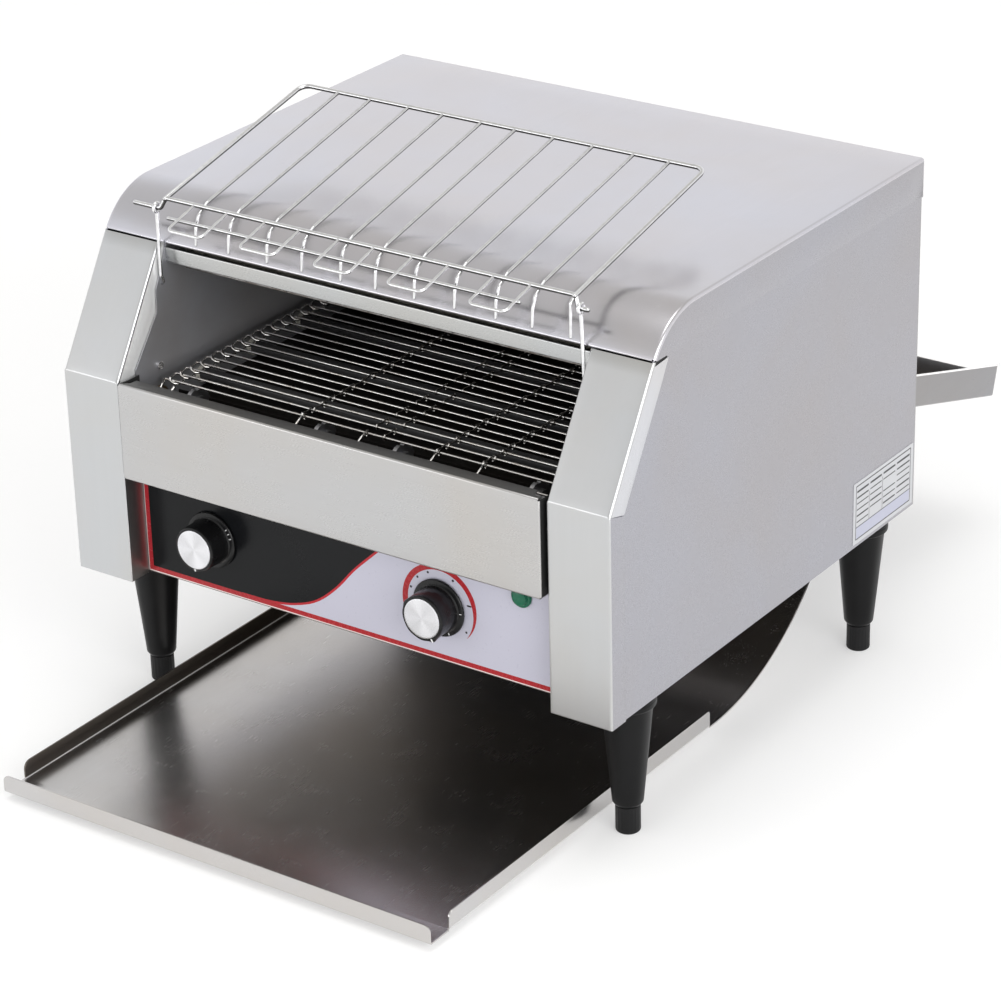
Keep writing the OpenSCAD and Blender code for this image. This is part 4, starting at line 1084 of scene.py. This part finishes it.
# ------------------------------------------------------------------- chute
def chute():
    ang = math.radians(16.7)
    y0, z0 = 416.0, 64.4
    w, t, r, lo = 187.0, 1.2, 1.8, -1.8

    def loc(x, v, h):
        return (x, y0 + v * math.cos(ang) + h * math.sin(ang), z0 - v * math.sin(ang) + h * math.cos(ang))

    b = Build()
    rows = []
    for v in (2.0, 40, 90, 140, 190, 224.0, 225.8):
        row = [loc(-w, v, 23.4), loc(-w, v, 12)]
        for a in range(0, 91, 15):
            q = math.radians(a)
            row.append(loc(-(w - r) - r * math.cos(q), v, lo + r - r * math.sin(q)))
        row += [loc(x, v, lo) for x in (-120, -60, 0, 60, 120)]
        for a in range(90, -1, -15):
            q = math.radians(a)
            row.append(loc((w - r) + r * math.cos(q), v, lo + r - r * math.sin(q)))
        row += [loc(w, v, 12), loc(w, v, 23.4)]
        rows.append(row)
    b.grid(rows)
    b.make("rear_chute_pan", ["chute", "chute_in"], "chute", "dull_steel", ("rear_chute",), solid=t, inner=1, ref=(0, 530, 120), bevel=0.25, weld=0.02)
    # folded hems, end wall and the tongue that reaches into the body; the hems and the wall's top edge take the
    # near-white copy (painted highlight)
    d = Build()
    for s in (-1, 1):
        prof = []
        for cxx, ch, a0 in ((-0.75, 23.45, 0), (-1.65, 23.45, 90), (-1.65, 23.15, 180), (-0.75, 23.15, 270)):
            for k in range(4):
                q = math.radians(a0 + 30 * k)
                prof.append((s * (w + cxx + 0.75 * math.cos(q)), ch + 0.75 * math.sin(q)))
        ids = []
        for v in (2.0, 60, 120, 180, 232.3, 232.85, 233.04):
            k = 1.0 if v < 232.5 else (0.8 if v < 233 else 0.4)
            cc = (s * (w - 1.2), 23.3)
            ids.append(d.add([loc(cc[0] + (x - cc[0]) * k, v, cc[1] + (h - cc[1]) * k) for x, h in prof]))
        for a, c in zip(ids, ids[1:]):
            for j in range(len(a)):
                d.face((a[j], a[(j + 1) % len(a)], c[(j + 1) % len(a)], c[j]))
        d.face(tuple(reversed(ids[0])))
        d.face(tuple(ids[-1]))
    # end wall with a rounded top edge
    ids = []
    wall = [(224.62, -0.8), (224.62, 16.0), (224.8, 16.45), (225.2, 16.6), (225.6, 16.45), (225.78, 16.0), (225.78, -0.8)]
    for x in (-(w - 1.25), w - 1.25):
        ids.append(d.add([loc(x, v, h) for v, h in wall]))
    for j in range(len(wall)):
        d.face((ids[0][j], ids[0][(j + 1) % len(wall)], ids[1][(j + 1) % len(wall)], ids[1][j]), 0 if j in (1, 2, 3, 4) else 1)
    d.face(tuple(reversed(ids[0])), 1)
    d.face(tuple(ids[1]), 1)
    i = d.add([loc(sx * 181, v, h) for h in (0.05, 1.15) for v in (-64, 3) for sx in (-1, 1)])
    j = d.add([loc(sx * 181, v, h) for h in (-1.75, 1.15) for v in (2.05, 3.2) for sx in (-1, 1)])
    for q in ((0, 1, 3, 2), (4, 6, 7, 5), (0, 4, 5, 1), (2, 3, 7, 6), (0, 2, 6, 4), (1, 5, 7, 3)):
        d.face([i[k] for k in q], 1)
        d.face([j[k] for k in q], 1)
    for s in (-1, 1):
        d.box((min(s * 150, s * 170), 412.4, 55), (max(s * 150, s * 170), 413.6, 65.9), 1)
        d.box((min(s * 150, s * 170), 416.0, 45), (max(s * 150, s * 170), 417.2, 64.8), 1)
    d.make("rear_chute_hems", ["hem", "chute"], "chute", "dull_steel", (), bevel=0.2, angle=40, weld=0)


chute()


# ----------------------------------------------------------- legs and feet
def legs():
    for xs, ys, nm in ((-1, 55.6, "front_left"), (1, 55.6, "front_right"), (-1, 377.9, "rear_left"), (1, 377.9, "rear_right")):
        c = (xs * 209.6, ys)
        b = Build()
        prof = [(4.2, -18), (4.2, 0.25), (19.2, 0.25), (19.9, 0.05), (20.4, -0.4), (20.6, -1.2), (20.6, -4.6), (20.38, -4.9), (20.38, -5.4), (20.6, -5.7),
                (20.6, -8.7), (20.4, -9.5), (19.9, -10.1), (19.2, -10.4), (18.9, -10.45), (18.3, -10.8), (18.0, -12.2)]
        for k in range(1, 12):
            f = k / 12
            prof.append((18.0 + (11.3 - 18.0) * f, -12.2 + (-85.4 + 12.2) * f))
        prof += [(11.2, -86.1), (11.0, -86.8), (10.6, -87.4), (9.5, -89.0), (9.1, -89.25), (4.3, -89.25), (4.3, -62)]

        def wob(r, h, a):
            # eight very shallow moulded flats down the cone
            if -84.5 < h < -14 and r > 8:
                return r - 0.16 * (0.5 + 0.5 * math.cos(8 * a))
            return r

        b.lathe(prof, c, "z", 96, 0, wob)
        b.make("leg_%s_cone" % nm, ["leg"], "body", "leg_plastic", ("leg_%s" % nm,), angle=30, weld=0.001)
        f = Build()
        fp = [(4.0, -64.3), (4.0, -89.7), (8.5, -89.7), (8.85, -89.9), (9.0, -90.3), (9.0, -91.2), (9.0, -106.4), (9.0, -109.0), (8.85, -109.7), (8.5, -110.2), (8.1, -110.5), (3, -110.5)]

        def grip(r, h, a):
            if r > 8.9 and -106.5 <= h <= -91.1:
                return r - 0.22 * (0.5 - 0.5 * math.cos(20 * a))
            return r

        f.lathe(fp, c, "z", 120, 0, grip)
        f.make("foot_%s_screw" % nm, ["foot"], {"front_left": "foot_fl", "front_right": "foot_fr", "rear_left": "foot_rl", "rear_right": "foot_rr"}[nm],
               "leg_plastic", ("foot_%s" % nm,), angle=30, weld=0.001)


legs()


# ------------------------------------------------- blank ruled rating plate
def plate_rules():
    b = Build()
    x = 233.4

    def put(u, v, t):
        return (x + t, u, v)

    y0, y1, z0, z1 = 324.0, 413.0, 3.0, 52.5

    def yy(u):
        return y0 + (y1 - y0) * u

    def zz(v):
        return z0 + (z1 - z0) * v

    def bar(u0, u1, v, w):
        b.slab([(yy(u0), zz(v) - w / 2), (yy(u1), zz(v) - w / 2), (yy(u1), zz(v) + w / 2), (yy(u0), zz(v) + w / 2)], put, -0.01, 0.04)

    def post(u, v0, v1, w):
        b.slab([(yy(u) - w / 2, zz(v0)), (yy(u) + w / 2, zz(v0)), (yy(u) + w / 2, zz(v1)), (yy(u) - w / 2, zz(v1))], put, -0.01, 0.04)

    bar(0.04, 0.955, 0.94, 0.9)
    bar(0.04, 0.955, 0.07, 0.75)
    post(0.04, 0.07, 0.94, 0.65)
    post(0.955, 0.07, 0.94, 0.65)
    bar(0.04, 0.955, 0.265, 0.55)
    for i, (u0, u1) in enumerate(((0.055, 0.245), (0.275, 0.465), (0.495, 0.695), (0.725, 0.94))):
        bar(u0, u1, 0.845, 1.6)
        for k, v in enumerate((0.745, 0.65, 0.55, 0.45, 0.35)):
            if (i, k) in ((1, 4), (2, 1)):
                continue
            bar(u0, u1, v, 0.9 if (i + k) % 3 else 1.25)
    post(0.48, 0.265, 0.80, 0.45)
    post(0.26, 0.265, 0.72, 0.4)
    b.make("rating_plate_rules", ["rule"], "body", "plate_foil", (), smooth=False, weld=0)
    c = Build()
    c.slab([(yy(0.05), zz(0.08)), (yy(0.945), zz(0.08)), (yy(0.945), zz(0.258)), (yy(0.05), zz(0.258))], put, -0.01, 0.03)
    c.make("rating_plate_band", ["band"], "body", "plate_foil", (), smooth=False, weld=0)


plate_rules()


# ----------------------------------------- edge-softening helper for kept CAD nodes (not called)
def soften(node, width, angle=40, segs=2):
    ob = NODES[node]
    w = ob.modifiers.new("weld", "WELD")
    w.merge_threshold = 0.00001
    m = ob.modifiers.new("edge", "BEVEL")
    m.width = width / 1000.0
    m.segments = segs
    m.limit_method = "ANGLE"
    m.angle_limit = math.radians(angle)
    m.use_clamp_overlap = True


# ------------------------------------------------------- floor, light, view
def stage_and_light():
    me = bpy.data.meshes.new("floor")
    s = 30.0
    me.from_pydata([(-s, -s, 0), (s, -s, 0), (s, s, 0), (-s, s, 0)], [], [(0, 1, 2, 3)])
    floor = bpy.data.objects.new("floor", me)
    scene.collection.objects.link(floor)
    m, nt, b = _start("studio_floor")
    n = _noise(nt, 3.0, (1, 1, 1), 2, 0.5)
    nt.links.new(_mix(nt, "MIX", n, (0.60, 0.60, 0.60), (0.62, 0.62, 0.62)), b.inputs["Base Color"])
    b.inputs["Emission Color"].default_value = (1.0, 1.0, 1.0, 1.0)
    b.inputs["Emission Strength"].default_value = 0.38
    b.inputs["Roughness"].default_value = 0.9
    b.inputs["Specular IOR Level"].default_value = 0.1
    me.materials.append(m)

    w = bpy.data.worlds.new("studio")
    scene.world = w
    w.use_nodes = True
    nt = w.node_tree
    nt.nodes.clear()
    out = nt.nodes.new("ShaderNodeOutputWorld")
    bg = nt.nodes.new("ShaderNodeBackground")
    tc = nt.nodes.new("ShaderNodeTexCoord")
    sep = nt.nodes.new("ShaderNodeSeparateXYZ")
    nt.links.new(tc.outputs["Generated"], sep.inputs[0])
    ramp = nt.nodes.new("ShaderNodeValToRGB")
    els = ramp.color_ramp.elements
    els[0].position, els[0].color = 0.0, (1.0, 1.0, 1.0, 1)
    els[1].position, els[1].color = 1.0, (4.6, 4.6, 4.6, 1)
    for p, c in ((0.30, (1.0, 1.0, 1.01)), (0.50, (0.94, 0.943, 0.955)), (0.64, (0.70, 0.692, 0.665)), (0.85, (0.63, 0.62, 0.595)), (0.925, (0.65, 0.64, 0.615)), (0.955, (1.5, 1.5, 1.5))):
        e = els.new(p)
        e.color = (*c, 1)
    nt.links.new(sep.outputs["Z"], ramp.inputs["Fac"])
    nt.links.new(ramp.outputs["Color"], bg.inputs["Color"])
    bg.inputs["Strength"].default_value = 1.0
    nt.links.new(bg.outputs[0], out.inputs[0])

    def area(name, loc, target, size, power, glossy=True):
        d = bpy.data.lights.new(name, "AREA")
        d.shape = "RECTANGLE"
        d.size, d.size_y = size
        d.energy = power
        o = bpy.data.objects.new(name, d)
        scene.collection.objects.link(o)
        o.location = loc
        o.rotation_mode = "QUATERNION"
        o.rotation_quaternion = (Vector(target) - Vector(loc)).to_track_quat("-Z", "Y")
        o.visible_glossy = glossy
        o.visible_camera = False
        return o

    area("strip_front_left", (-1.35, -2.28, 0.72), (0, -0.2, 0.25), (1.5, 0.5), 5.5)
    area("window_right", (1.95, -1.07, 1.08), (0, -0.1, 0.25), (1.7, 1.5), 24)


stage_and_light()
scene.view_settings.view_transform = "Standard"
scene.view_settings.look = "None"
scene.view_settings.exposure = 0.0
scene.view_settings.gamma = 1.0
